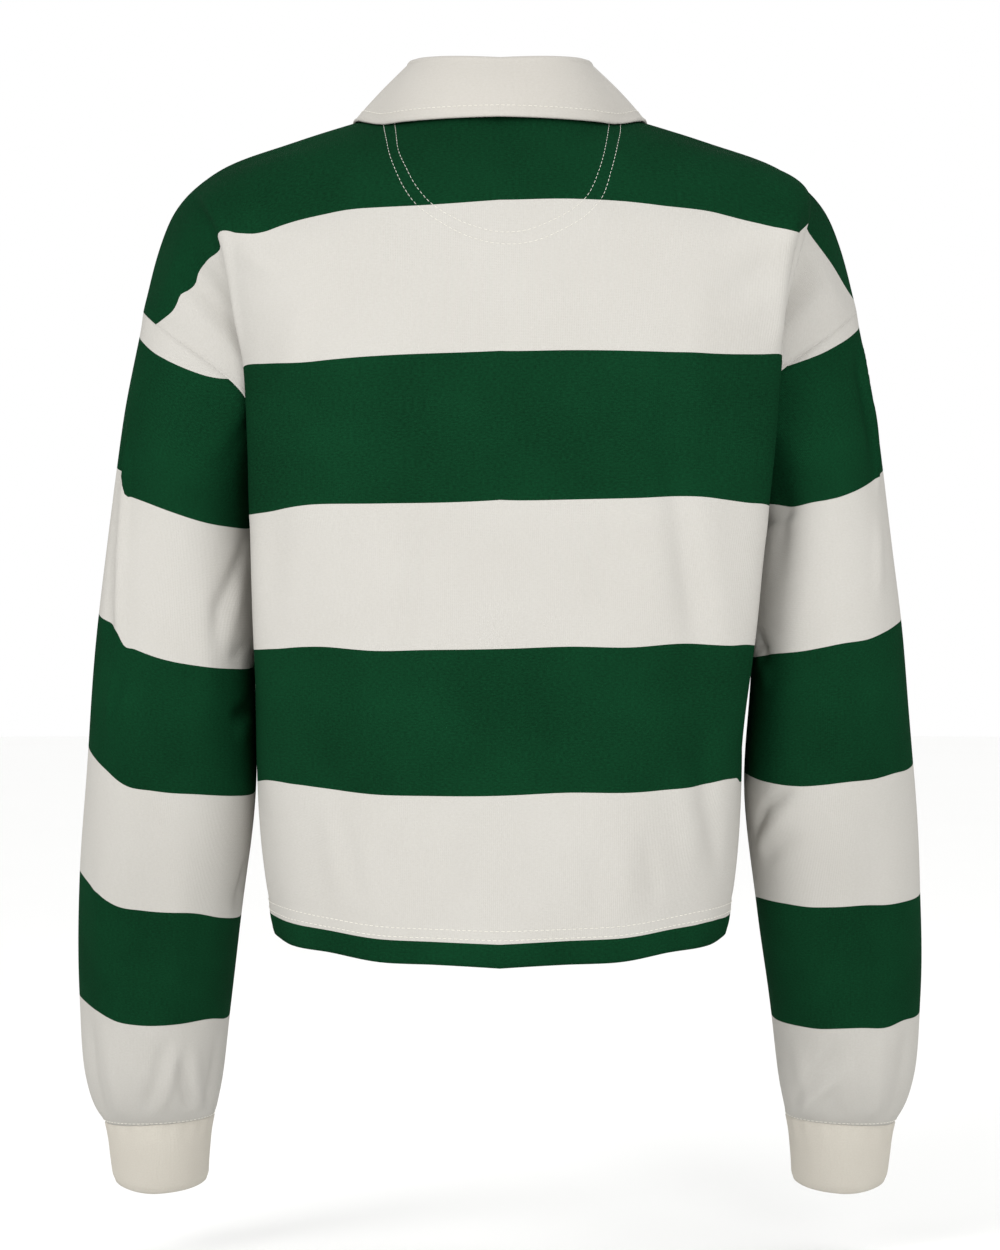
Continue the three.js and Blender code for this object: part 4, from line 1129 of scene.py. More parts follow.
@dataclass(frozen=True)
class ClothFinish:
    """A cloth: its dyes, weave and nap."""

    name: str
    dye: Dye
    weave: Weave
    stripe: Optional[Dye] = None
    bump: float = 0.35
    nap: float = 0.0
    roughness: float = 0.92

    def build(self) -> bpy.types.Material:
        """Makes the material.

        Returns:
            The new material, whose stripes lie on the cloth's own places.
        """
        material = bpy.data.materials.new(self.name)
        material.use_nodes = True
        nodes = Nodes(material.node_tree)
        shader = material.node_tree.nodes["Principled BSDF"]
        place = nodes.add("ShaderNodeUVMap", uv_map="cloth").outputs[0]
        mottle = nodes.add("ShaderNodeGroup", node_tree=yarn_mottle())
        nodes.tree.links.new(place, mottle.inputs["Place"])
        blend = nodes.math("ADD", nodes.math("MULTIPLY", mottle.outputs["Fine"], 0.7),
                           nodes.math("MULTIPLY", mottle.outputs["Broad"], 0.3))
        colour = self.dye.mix(nodes, blend)
        if self.stripe is not None:
            course = nodes.add("ShaderNodeSeparateXYZ", {0: place}).outputs[1]
            count = nodes.math("DIVIDE", nodes.math("SUBTRACT", course, FIRST_STRIPE * MM), STRIPE * MM)
            odd = nodes.math("GREATER_THAN", nodes.math("FLOORED_MODULO", count, 2.0), 1.0)
            both = nodes.add("ShaderNodeMix", {"Factor": odd}, data_type="RGBA")
            nodes.tree.links.new(colour, both.inputs[6])
            nodes.tree.links.new(self.stripe.mix(nodes, blend), both.inputs[7])
            colour = both.outputs[2]
        relief = nodes.add("ShaderNodeGroup", node_tree=yarn_relief())
        nodes.tree.links.new(place, relief.inputs["Place"])
        relief.inputs["Width"].default_value, relief.inputs["Height"].default_value = self.weave.value
        height = nodes.math("ADD", relief.outputs["Relief"], nodes.math("MULTIPLY", mottle.outputs["Fine"], 0.35))
        bump = nodes.add("ShaderNodeBump", {"Height": height, "Strength": self.bump, "Distance": 0.0004})
        nodes.tree.links.new(bump.outputs[0], shader.inputs["Normal"])
        nodes.tree.links.new(colour, shader.inputs["Base Color"])
        shader.inputs["Roughness"].default_value = self.roughness
        shader.inputs["Specular IOR Level"].default_value = 0.01
        shader.inputs["Sheen Weight"].default_value = self.nap
        shader.inputs["Sheen Roughness"].default_value = 0.45
        return material


@dataclass(frozen=True)
class PlainFinish:
    """A finish of one colour with a slight unevenness: rubber, thread or the floor."""

    name: str
    light: tuple[int, int, int]
    dark: tuple[int, int, int]
    roughness: float
    scale: float = 400.0
    nap: float = 0.0

    def build(self) -> bpy.types.Material:
        """Makes the material."""
        material = bpy.data.materials.new(self.name)
        material.use_nodes = True
        nodes = Nodes(material.node_tree)
        shader = material.node_tree.nodes["Principled BSDF"]
        where = nodes.add("ShaderNodeTexCoord").outputs["Object"]
        noise = nodes.add("ShaderNodeTexNoise", {"Vector": where, "Scale": self.scale, "Detail": 2.0})
        nodes.tree.links.new(Dye(self.light, self.dark).mix(nodes, noise.outputs[0]), shader.inputs["Base Color"])
        shader.inputs["Roughness"].default_value = self.roughness
        shader.inputs["Sheen Weight"].default_value = self.nap
        return material


@dataclass(frozen=True)
class Stitching:
    """Machine stitches in one thread: rounded lengths that dip into the cloth at both ends."""

    pitch: float = 3.2
    length: float = 2.2
    radius: float = 0.17
    sides: int = 6
    lifts: tuple[float, ...] = (-0.12, 0.12, 0.18, 0.12, -0.12)
    girths: tuple[float, ...] = (0.5, 1.0, 1.05, 1.0, 0.5)
    shares: tuple[float, ...] = (0.0, 0.16, 0.5, 0.84, 1.0)

    def row(self, points: Array, normals: Array, seed: int = 0) -> tuple[Array, Array]:
        """Stitches along a line on the cloth's face.

        Args:
            points: the line, close enough together to measure along.
            normals: the cloth's normals there.
            seed: picks the slight unevenness.

        Returns:
            Vertices and triangles.
        """
        rng = np.random.default_rng(seed)
        along = np.concatenate([[0], np.cumsum(np.linalg.norm(np.diff(points, axis=0), axis=1))])
        count = max(int(along[-1] / self.pitch), 1)
        pitch = along[-1] / count
        starts = np.arange(count) * pitch + (pitch - self.length * pitch / self.pitch) / 2
        starts = starts + rng.normal(0, 0.05, count)
        where = starts[:, None] + np.array(self.shares) * self.length * pitch / self.pitch
        flat = where.ravel()
        centre = np.stack([np.interp(flat, along, points[:, k]) for k in range(3)], -1)
        normal = unit(np.stack([np.interp(flat, along, normals[:, k]) for k in range(3)], -1))
        ahead = np.stack([np.interp(flat + 0.4, along, points[:, k]) - np.interp(flat - 0.4, along, points[:, k])
                          for k in range(3)], -1)
        across = unit(np.cross(unit(ahead), normal))
        lift = np.tile(self.lifts, count) + np.repeat(rng.normal(0, 0.02, count), len(self.lifts))
        centre = centre + normal * lift[:, None]
        girth = np.tile(self.girths, count) * self.radius
        angle = np.arange(self.sides) * 2 * math.pi / self.sides
        ring = centre[:, None] + girth[:, None, None] * (
            across[:, None] * np.cos(angle)[None, :, None] + normal[:, None] * np.sin(angle)[None, :, None])
        vertices = ring.reshape(-1, 3)
        rings, sides = len(self.shares), self.sides
        one: list[tuple[int, int, int]] = []
        for k in range(rings - 1):
            for s in range(sides):
                a, b = k * sides + s, k * sides + (s + 1) % sides
                one += [(a, b, b + sides), (a, b + sides, a + sides)]
        last = (rings - 1) * sides
        for s in range(1, sides - 1):
            one += [(0, s + 1, s), (last, last + s, last + s + 1)]
        faces = (np.arange(count) * rings * sides)[:, None, None] + np.array(one)[None]
        return vertices, faces.reshape(-1, 3)


@dataclass
class Seamstress:
    """Collects rows of stitches and makes one piece of them."""

    name: str
    stitching: Stitching
    parts: list[tuple[Array, Array]] = field(default_factory=list)

    def sew(self, frame_of: Callable[[Array, Array], tuple[Array, Array]], line: Array, above: float) -> "Seamstress":
        """Sews one row.

        Args:
            frame_of: gives points and normals at places on the cloth.
            line: places along the row, in millimetres.
            above: how far the cloth's face lies from its middle.

        Returns:
            The same seamstress.
        """
        points, normals = frame_of(line[:, 0], line[:, 1])
        self.parts.append(self.stitching.row(points + normals * above, normals, len(self.parts)))
        return self

    def build(self, material: bpy.types.Material, node: str) -> bpy.types.Object:
        """Makes the piece and lets it ride with the shirt."""
        vertices, faces, count = [], [], 0
        for points, numbers in self.parts:
            vertices.append(points)
            faces.append(numbers + count)
            count += len(points)
        item = mesh_object(self.name, np.concatenate(vertices), np.concatenate(faces), None, material)
        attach(item, "root")
        LOG.info("%s: %d stitches on %s", self.name, count // 30, node)
        return item


def line_of(points: Sequence[tuple[float, float]], step: float = 1.0) -> Array:
    """A smooth line through places on the cloth.

    Args:
        points: the places.
        step: about how far apart the line's points are.

    Returns:
        Places along the line.
    """
    given = np.array(points, float)
    along = np.concatenate([[0], np.cumsum(np.linalg.norm(np.diff(given, axis=0), axis=1))])
    count = max(int(along[-1] / step), 2)
    if len(given) == 2:
        share = np.linspace(0, 1, count + 1)[:, None]
        return given[0] + (given[1] - given[0]) * share
    return through(along, given, np.linspace(0, along[-1], count + 1))


def body_tree(pairs: Sequence[tuple[Array, float]]) -> BVHTree:
    """A tree of the body's cloth, for laying other pieces on it.

    Args:
        pairs: a grid of points in the middle of the cloth and 1 or -1, the sign of y that is outside.

    Returns:
        The tree, with its normals outwards.
    """
    vertices: list[Array] = []
    faces: list[list[int]] = []
    count = 0
    for points, outside in pairs:
        rows, columns = points.shape[:2]
        r, c = np.meshgrid(np.arange(rows - 1), np.arange(columns - 1), indexing="ij")
        start = (count + r * columns + c).ravel()
        quads = np.stack([start, start + 1, start + columns + 1, start + columns], -1)
        if outside < 0:
            quads = quads[:, ::-1]
        vertices.append(points.reshape(-1, 3))
        faces += quads.tolist()
        count += rows * columns
    return BVHTree.FromPolygons(np.concatenate(vertices).tolist(), faces)


@dataclass(frozen=True)
class Cut:
    """A piece's cut before it was sewn, in metres and square metres."""

    width: float
    length: float
    area: float


def dress(item: bpy.types.Object, node: str, cut: Cut, rests_on: Sequence[object] = ()) -> bpy.types.Object:
    """Lets a piece of cloth ride and replace its solid.

    Args:
        item: the piece.
        node: the solid that it stands for.
        cut: its flat size; not used.
        rests_on: what it lies on or hangs from; not used.

    Returns:
        The same piece.
    """
    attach(item, "root")
    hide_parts(node)
    list(rests_on)
    LOG.info("%s stands for %s: %d faces", item.name, node, len(item.data.polygons))
    return item


# Folds of the back, left then right, in millimetres on the cloth: the drop from the shoulders and the soft
# hang beside each blade, with a few drags above the hem.
BACK_FOLDS = (
    Fold(-3.0, 5, ((178, -4), (171, 20), (165, 46), (164, 72), (163, 100), (162, 140)), 0.25),
    Fold(2.4, 5, ((170, 2), (162, 26), (157, 50), (155, 76), (154, 110), (153, 150)), 0.25),
    Fold(-1.5, 8, ((150, 64), (138, 68), (120, 74), (104, 81)), 0.45),
    Fold(1.0, 8, ((148, 76), (134, 81), (114, 90)), 0.45),
    Fold(-1.7, 8, ((80, 100), (90, 115), (98, 128), (104, 150), (110, 190)), 0.4),
    Fold(1.3, 10, ((96, 100), (108, 124), (116, 150), (120, 200)), 0.4),
    Fold(-1.3, 10, ((128, 200), (131, 240), (138, 280), (136, 330)), 0.45),
    Fold(1.2, 12, ((146, 170), (150, 240), (152, 310)), 0.45),
    Fold(-1.2, 9, ((38, 226), (40, 240), (42, 280), (46, 330)), 0.4),
    Fold(0.9, 12, ((58, 220), (60, 280), (64, 340)), 0.45),
    Fold(-1.4, 7, ((96, 410), (90, 438), (83, 476)), 0.4),
    Fold(1.2, 8, ((110, 400), (104, 440), (98, 478)), 0.4),
    Fold(-1.2, 7, ((64, 420), (60, 448), (61, 478)), 0.4),
    Fold(-1.2, 8, ((14, 414), (16, 442), (17, 474)), 0.4),
    Fold(1.0, 9, ((30, 410), (32, 444), (34, 478)), 0.4),
    Fold(-1.0, 11, ((-56, 200), (-58, 236), (-58, 284), (-54, 330)), 0.45),
    Fold(-2.8, 8, ((-84, 100), (-92, 130), (-88, 172), (-90, 210), (-98, 238), (-108, 280), (-116, 318),
                   (-122, 356)), 0.35),
    Fold(1.8, 9, ((-100, 180), (-106, 215), (-114, 240), (-124, 280), (-131, 318), (-136, 360)), 0.4),
    Fold(1.4, 12, ((-72, 190), (-78, 236), (-88, 280), (-96, 320)), 0.45),
    Fold(-2.6, 8, ((-120, 350), (-128, 390), (-133, 414), (-146, 446), (-158, 474)), 0.35),
    Fold(1.8, 9, ((-104, 370), (-112, 404), (-122, 436), (-132, 474)), 0.4),
    Fold(-1.4, 7, ((-84, 420), (-90, 446), (-98, 480)), 0.4),
    Fold(1.3, 7, ((-66, 424), (-72, 450), (-78, 482)), 0.4),
    Fold(-1.2, 7, ((-50, 430), (-54, 452), (-58, 482)), 0.4),
    Fold(-1.3, 8, ((-112, 122), (-120, 106), (-128, 90), (-134, 76)), 0.45),
    Fold(1.0, 8, ((-124, 130), (-134, 112), (-140, 96)), 0.45),
    Fold(3.0, 6, ((-146, 44), (-143, 62), (-140, 82), (-140, 108), (-142, 150)), 0.2),
    Fold(-3.4, 6, ((-158, 50), (-154, 66), (-151, 84), (-151, 110), (-153, 150)), 0.2),
    Fold(-1.8, 12, ((-80, 0), (-110, 1), (-150, 3), (-188, 8)), 0.3),
    Fold(-1.6, 12, ((76, 0), (104, 1), (130, 2), (156, 6)), 0.35),
)
FRONT_FOLDS = (
    Fold(-1.8, 12, ((-80, 0), (-110, 1), (-150, 3), (-188, 8)), 0.3),
    Fold(-1.6, 12, ((76, 0), (104, 1), (130, 2), (156, 6)), 0.35),
    Fold(-1.7, 10, ((176, 10), (160, 50), (150, 86))),
    Fold(1.5, 11, ((-168, 8), (-150, 50), (-142, 90))),
    Fold(1.7, 13, ((146, 120), (140, 230), (148, 350)), 0.45),
    Fold(-1.7, 13, ((122, 140), (120, 250), (132, 400)), 0.45),
    Fold(-1.5, 13, ((-124, 150), (-118, 270), (-112, 400)), 0.45),
    Fold(1.6, 13, ((-144, 130), (-140, 240), (-132, 390)), 0.45),
    Fold(1.1, 17, ((52, 250), (66, 350), (60, 460)), 0.45),
    Fold(-1.1, 17, ((-40, 240), (-58, 350), (-50, 470)), 0.45),
)
# Folds of the sleeves, round from the outer line by the back.
LEFT_SLEEVE_FOLDS = (
    Fold(3.4, 5, ((33, 56), (42, 91), (45, 114), (48, 142), (52.5, 178), (56, 206)), 0.25),
    Fold(-3.8, 8, ((19, 56), (28, 91), (31, 114), (34, 142), (39, 178), (43, 206)), 0.25),
    Fold(1.8, 5, ((56, 196), (48, 235), (54, 266)), 0.4),
    Fold(1.5, 5, ((68, 204), (61, 236), (57, 266)), 0.4),
    Fold(-1.6, 6, ((60, 206), (54, 236)), 0.45),
    Fold(-4.6, 5, ((188, 211), (170, 214), (155, 217), (143, 223)), 0.45),
    Fold(2.2, 7, ((184, 222), (166, 226), (148, 233)), 0.4),
    Fold(-2.4, 6, ((172, 104), (159, 124), (134, 154), (127, 180)), 0.35),
    Fold(1.7, 7, ((172, 132), (154, 150), (142, 172), (134, 192)), 0.4),
    Fold(-1.6, 4, ((180, 166), (162, 174), (142, 183)), 0.4),
    Fold(-2.4, 8, ((186, 312), (178, 336), (166, 362)), 0.4),
    Fold(1.6, 12, ((120, 120), (126, 200), (118, 280)), 0.45),
    Fold(-1.6, 14, ((84, 250), (92, 330), (84, 420)), 0.45),
    Fold(1.8, 13, ((110, 300), (118, 390), (112, 470)), 0.45),
    Fold(1.6, 12, ((58, 300), (54, 390), (62, 480)), 0.45),
    Fold(-1.8, 9, ((36, 440), (40, 490), (38, 526)), 0.3),
    Fold(1.8, 9, ((60, 450), (66, 495), (64, 527)), 0.3),
    Fold(-2.2, 6, ((112, 448), (104, 478), (92, 514)), 0.35),
    Fold(2.0, 6, ((125, 450), (114, 480), (102, 516)), 0.35),
    Fold(-2.0, 6, ((122, 458), (128, 484), (138, 512)), 0.35),
    Fold(1.9, 7, ((134, 452), (142, 484), (152, 516)), 0.35),
    Fold(-1.7, 8, ((168, 450), (162, 490), (166, 520)), 0.3),
    Fold(1.8, 12, ((250, 120), (262, 230), (252, 340)), 0.45),
    Fold(-1.8, 12, ((300, 160), (292, 280), (306, 400)), 0.45),
    Fold(1.7, 10, ((230, 450), (236, 495), (232, 527)), 0.3),
    Fold(-1.7, 10, ((285, 450), (279, 495), (283, 527)), 0.3),
    Fold(1.7, 10, ((340, 446), (346, 494), (342, 527)), 0.3),
)
RIGHT_SLEEVE_FOLDS = (
    Fold(2.6, 4, ((8, 12), (24, 30), (31, 46), (33, 84), (42, 112)), 0.25),
    Fold(-2.2, 6, ((22, 14), (36, 34), (43, 56), (45, 88)), 0.3),
    Fold(1.4, 6, ((42, 112), (50, 142), (56, 172)), 0.4),
    Fold(-2.8, 6, ((182, 170), (168, 174), (152, 184)), 0.4),
    Fold(2.0, 7, ((180, 181), (164, 187), (148, 200)), 0.4),
    Fold(-2.0, 11, ((130, 40), (142, 80), (150, 150)), 0.4),
    Fold(-3.0, 5, ((172, 306), (162, 292), (150, 281), (134, 274), (118, 269)), 0.35),
    Fold(2.2, 6, ((176, 320), (162, 306), (146, 295), (122, 284)), 0.4),
    Fold(-1.5, 6, ((166, 326), (150, 314), (116, 302)), 0.4),
    Fold(-2.0, 6, ((164, 506), (142, 488), (120, 472), (102, 456)), 0.35),
    Fold(1.8, 6, ((152, 514), (130, 492), (108, 478), (92, 464)), 0.35),
    Fold(1.5, 13, ((96, 130), (90, 220), (96, 310)), 0.45),
    Fold(-1.6, 14, ((74, 280), (80, 360), (70, 440)), 0.45),
    Fold(1.7, 13, ((120, 320), (126, 400), (118, 480)), 0.45),
    Fold(-1.7, 9, ((44, 446), (50, 494), (46, 527)), 0.3),
    Fold(1.8, 9, ((76, 450), (72, 496), (76, 527)), 0.3),
    Fold(-1.8, 9, ((106, 448), (112, 494), (108, 527)), 0.3),
    Fold(1.6, 9, ((146, 452), (140, 496), (144, 527)), 0.3),
    Fold(-1.6, 12, ((240, 130), (250, 240), (244, 350)), 0.45),
    Fold(1.8, 12, ((310, 150), (300, 270), (312, 390)), 0.45),
    Fold(-1.7, 10, ((224, 448), (230, 494), (226, 527)), 0.3),
    Fold(1.7, 10, ((270, 452), (264, 496), (268, 527)), 0.3),
    Fold(-1.7, 10, ((326, 448), (332, 494), (328, 527)), 0.3),
)

# The half-moon's two rows of stitches at the back neck, from the left neck edge round to the right.
MOON_OUTER = ((66, -12), (63, 10), (60, 24), (55, 38), (50, 50), (44, 61), (33, 72), (16, 82.5), (0, 86.5), (-16, 85),
              (-34, 76.5), (-44, 69), (-51, 60), (-59, 38), (-64, 20), (-67, 4), (-68, -14))
MOON_INNER = ((58.5, -13), (57, 8), (55, 22), (50, 35), (43.5, 50), (36.5, 61), (27, 69.5), (14, 76.5), (0, 80),
              (-14, 78.5), (-28, 72), (-35.5, 67), (-43, 59.5), (-52.5, 38), (-57.5, 20), (-60, 4), (-61, -15))


@dataclass
class Garment:
    """The striped body and sleeves, their cuffs, collar and placket."""

    back: Panel
    front: Panel
    sleeves: dict[Side, Sleeve]
    jersey: bpy.types.Material
    cuff_knit: bpy.types.Material
    twill: bpy.types.Material
    body_points: list[tuple[Array, float]] = field(default_factory=list)
    pieces: dict[str, bpy.types.Object] = field(default_factory=dict)

    def build_body(self) -> None:
        """Makes both panels, with the turned-up hem, mitred against each other and against the sleeves."""
        fine = np.concatenate([np.linspace(0, 138, 50, endpoint=False), np.linspace(138, 182, 26, endpoint=False),
                               np.linspace(182, STATION_MM, 22)])
        across = np.concatenate([-fine[:0:-1], fine])
        body = np.concatenate([np.linspace(FIRST_STRIPE, UNDERARM, 62, endpoint=False),
                               np.linspace(UNDERARM, HEM, 92)])
        upper = 26
        made: dict[Face, Cloth] = {}
        for panel in (self.back, self.front):
            columns = across.copy()
            if panel.slit:
                nearest = int(np.argmin(np.abs(columns - panel.slit[0])))
                columns[nearest], columns[len(columns) - 1 - nearest] = panel.slit[0], -panel.slit[0]
            places = panel.grid(columns, upper, body)
            points, _ = panel.frame(places[..., 0], places[..., 1])
            normals = grid_normals(points, False, panel.face.value)
            rows = len(points)
            extra = np.where(np.arange(rows) >= upper + np.argmax(body >= HEM - HEM_TURN_UP - 0.5), HEM_EXTRA, 0.0)
            present = None
            if panel.slit:
                r, c = np.meshgrid(np.arange(rows - 1), np.arange(len(columns) - 1), indexing="ij")
                middle = (columns[c] + columns[c + 1]) / 2
                present = ~((np.abs(middle) < panel.slit[0]) & (places[r, c, 1] < panel.slit[1] - 1.5))
            made[panel.face] = Cloth(f"{panel.face.name.lower()}_cloth", points, normals, places, JERSEY,
                                     extra=extra, present=present)
        back, front = made[Face.BACK], made[Face.FRONT]
        below = upper + int(np.argmax(body >= UNDERARM - 0.01))
        neck = np.abs(across) > STATIONS["neck"] * STATION_MM
        for column in (0, -1):
            both = unit(back.normals[below:, column] + front.normals[below:, column])
            back.normals[below:, column] = front.normals[below:, column] = both
        both = unit(back.normals[0, neck] + front.normals[0, neck])
        back.normals[0, neck] = front.normals[0, neck] = both
        for panel in (self.back, self.front):
            cloth = made[panel.face]
            for side, column in ((Side.RIGHT, 0), (Side.LEFT, -1)):
                course = cloth.places[1:below, column, 1]
                turn = self.sleeves[side].armhole.turn(course, panel.face)
                length = self.sleeves[side].cap(turn) + 1.0
                other = self.sleeves[side].frame(turn / (2 * math.pi) * ROUND_MM, length)[1]
                own = cloth.normals[1:below, column]
                mitre = (own * other).sum(1) > MITRE_AGREEMENT
                own[mitre] = unit(own + other)[mitre]
            self.body_points.append((cloth.points.copy(), panel.face.value))
            cloth.drawn_in(SEAM_GAP)
            if panel.stripes:
                u, v = cloth.places[..., 0], cloth.places[..., 1]
                cloth.places[..., 1] = drawn_stripes(panel.stripes, BODY_CHANGES, u, v)
            self.pieces[panel.face.name.lower()] = cloth.build(self.jersey)

    def build_sleeves(self) -> None:
        """Makes both sleeves and their cuffs."""
        for side, sleeve in self.sleeves.items():
            name = side.name.lower()
            self.pieces[f"sleeve_{name}"] = sleeve.cloth(150, 176).drawn_in(SEAM_GAP).build(self.jersey)
            self.pieces[f"cuff_{name}"] = Cuff(side).cloth(150, 26).drawn_in(SEAM_GAP).build(self.cuff_knit)

    def build_collar(self) -> Collar:
        """Makes the collar, clear of the body."""
        collar = Collar(self.back, self.front, body_tree(self.body_points))
        self.pieces["collar"] = collar.cloth(181).build(self.twill)
        return collar

    def build_placket(self) -> None:
        """Makes the two strips round the slit, from the front's own points."""
        u = np.linspace(-PLACKET_HALF, PLACKET_HALF, 21)
        top = self.front.top_of(u)
        share = np.linspace(0, 1, 72)[:, None]
        v = (top + PLACKET_BELOW_NECK) + (PLACKET_FOOT - top - PLACKET_BELOW_NECK) * share
        u = np.broadcast_to(u, v.shape)
        points, _ = self.front.frame(u, v)
        normals = grid_normals(points, False, -1.0)
        away = (JERSEY + PLACKET_CLOTH) / 2 + LIE_GAP
        for name, sign in (("placket_over", 1.0), ("placket_under", -1.0)):
            cloth = Cloth(f"{name}_cloth", points + normals * away * sign, normals, np.stack([u, v], -1), PLACKET_CLOTH)
            self.pieces[name] = cloth.build(self.twill)

    def declare(self) -> None:
        """Lets every piece replace its solid."""
        pieces = self.pieces
        panels = [pieces["back"], pieces["front"]]
        body, sleeve, cuff = Cut(0.50, 0.53, 0.235), Cut(0.40, 0.53, 0.172), Cut(0.18, 0.052, 0.0092)
        collar, strip = Cut(0.47, 0.095, 0.038), Cut(0.031, 0.160, 0.0049)
        dress(pieces["back"], "back", body)
        dress(pieces["front"], "front", body, panels[:1])
        for name in ("left", "right"):
            tube = pieces[f"sleeve_{name}"]
            dress(tube, f"sleeve_{name}", sleeve, panels)
            dress(pieces[f"cuff_{name}"], f"cuff_{name}", cuff, [tube])
        dress(pieces["collar"], "collar", collar, panels)
        for name in ("placket_over", "placket_under"):
            dress(pieces[name], name, strip, panels[1:])


@dataclass
class Buttons:
    """Three flat four-hole buttons on the placket, with their thread."""

    front: Panel
    rubber: bpy.types.Material
    thread: bpy.types.Material
    courses: tuple[float, ...] = (72, 118, 164)
    radius: float = 7.0
    height: float = 2.4
    hole: float = 0.85
    spread: float = 1.75

    def outline(self) -> list[tuple[float, float]]:
        """Radius and height of the turned shape, from the middle below to the middle above."""
        r, h = self.radius, self.height
        return [(0, 0), (r - 1.1, 0), (r - 0.5, 0.12), (r - 0.12, 0.45), (r, 0.95), (r, h - 0.75), (r - 0.12, h - 0.35),
                (r - 0.4, h - 0.1), (r - 0.8, h), (r - 1.4, h - 0.02), (r - 1.9, h - 0.2), (r - 2.3, h - 0.52),
                (r - 2.8, h - 0.62), (0, h - 0.66)]

    def blank(self) -> bpy.types.Mesh:
        """The button with its four holes, standing on its back."""
        shape = bmesh.new()
        steps = 56
        outline = self.outline()
        rings = []
        for radius, height in outline:
            if radius == 0:
                rings.append([shape.verts.new((0, 0, height))])
            else:
                rings.append([shape.verts.new((radius * math.cos(a), radius * math.sin(a), height))
                              for a in (2 * math.pi * k / steps for k in range(steps))])
        for low, high in zip(rings, rings[1:]):
            for k in range(steps):
                corners = [low[k % len(low)], low[(k + 1) % len(low)], high[(k + 1) % len(high)], high[k % len(high)]]
                shape.faces.new(list(dict.fromkeys(corners)))
        bmesh.ops.recalc_face_normals(shape, faces=shape.faces)
        mesh = bpy.data.meshes.new("button_blank")
        shape.to_mesh(mesh)
        shape.free()
        blank = bpy.data.objects.new("button_blank", mesh)
        cutter_shape = bmesh.new()
        for x, y in self.holes():
            bmesh.ops.create_cone(cutter_shape, cap_ends=True, segments=20, radius1=self.hole, radius2=self.hole,
                                  depth=8, matrix=Matrix.Translation((x, y, 1)))
        cutter_mesh = bpy.data.meshes.new("button_drill")
        cutter_shape.to_mesh(cutter_mesh)
        cutter_shape.free()
        cutter = bpy.data.objects.new("button_drill", cutter_mesh)
        for item in (blank, cutter):
            bpy.context.scene.collection.objects.link(item)
        drill = blank.modifiers.new("holes", "BOOLEAN")
        drill.object, drill.operation, drill.solver = cutter, "DIFFERENCE", "EXACT"
        result = bpy.data.meshes.new_from_object(blank.evaluated_get(bpy.context.evaluated_depsgraph_get()))
        for item in (blank, cutter):
            bpy.data.objects.remove(item)
        return result

    def holes(self) -> list[tuple[float, float]]:
        """Middles of the four holes."""
        s = self.spread
        return [(s, s), (-s, s), (-s, -s), (s, -s)]

    def build(self) -> None:
        """Makes the buttons on the upper strip, with two bars of thread in each."""
        blank = self.blank()
        away = JERSEY / 2 + LIE_GAP + PLACKET_CLOTH + 0.3
        bars = Seamstress("button_thread", Stitching(pitch=5.2, length=4.6, radius=0.34,
                                                     lifts=(-0.9, 0.15, 0.3, 0.15, -0.9)))
        for number, course in enumerate(self.courses, 1):
            points, _ = self.front.frame(np.array([0.0, 0.0]), np.array([course, course + 2.0]))
            slope = unit(points[1] - points[0])
            normal = unit(np.array([0.0, slope[2], -slope[1]]))
            right = np.cross(slope, normal)
            turn = Matrix(np.stack([right, -slope, normal], -1).tolist()).to_4x4()
            place = Matrix.Translation(Vector((points[0] + normal * away) * MM)) @ turn @ Matrix.Scale(MM, 4)
            mesh = blank.copy()
            mesh.transform(place)
            mesh.materials.clear()
            mesh.materials.append(self.rubber)
            for face in mesh.polygons:
                face.use_smooth = True
            mesh.set_sharp_from_angle(angle=math.radians(40))
            item = bpy.data.objects.new(f"button_{number}_rubber", mesh)
            bpy.context.scene.collection.objects.link(item)
            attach(item, "root")
            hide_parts(f"button_{number}")
            top = points[0] + normal * (away + self.height - 0.6)
            for x in (self.spread, -self.spread):
                ends = np.array([[x, -2.6], [x, 2.6]])
                line = top + ends[:, :1] * right + ends[:, 1:] * -slope
                bars.parts.append(bars.stitching.row(line, np.stack([normal, normal]), number))
            LOG.info("button_%d on the placket at course %.0f", number, course)
        bars.build(self.thread, "the buttons")


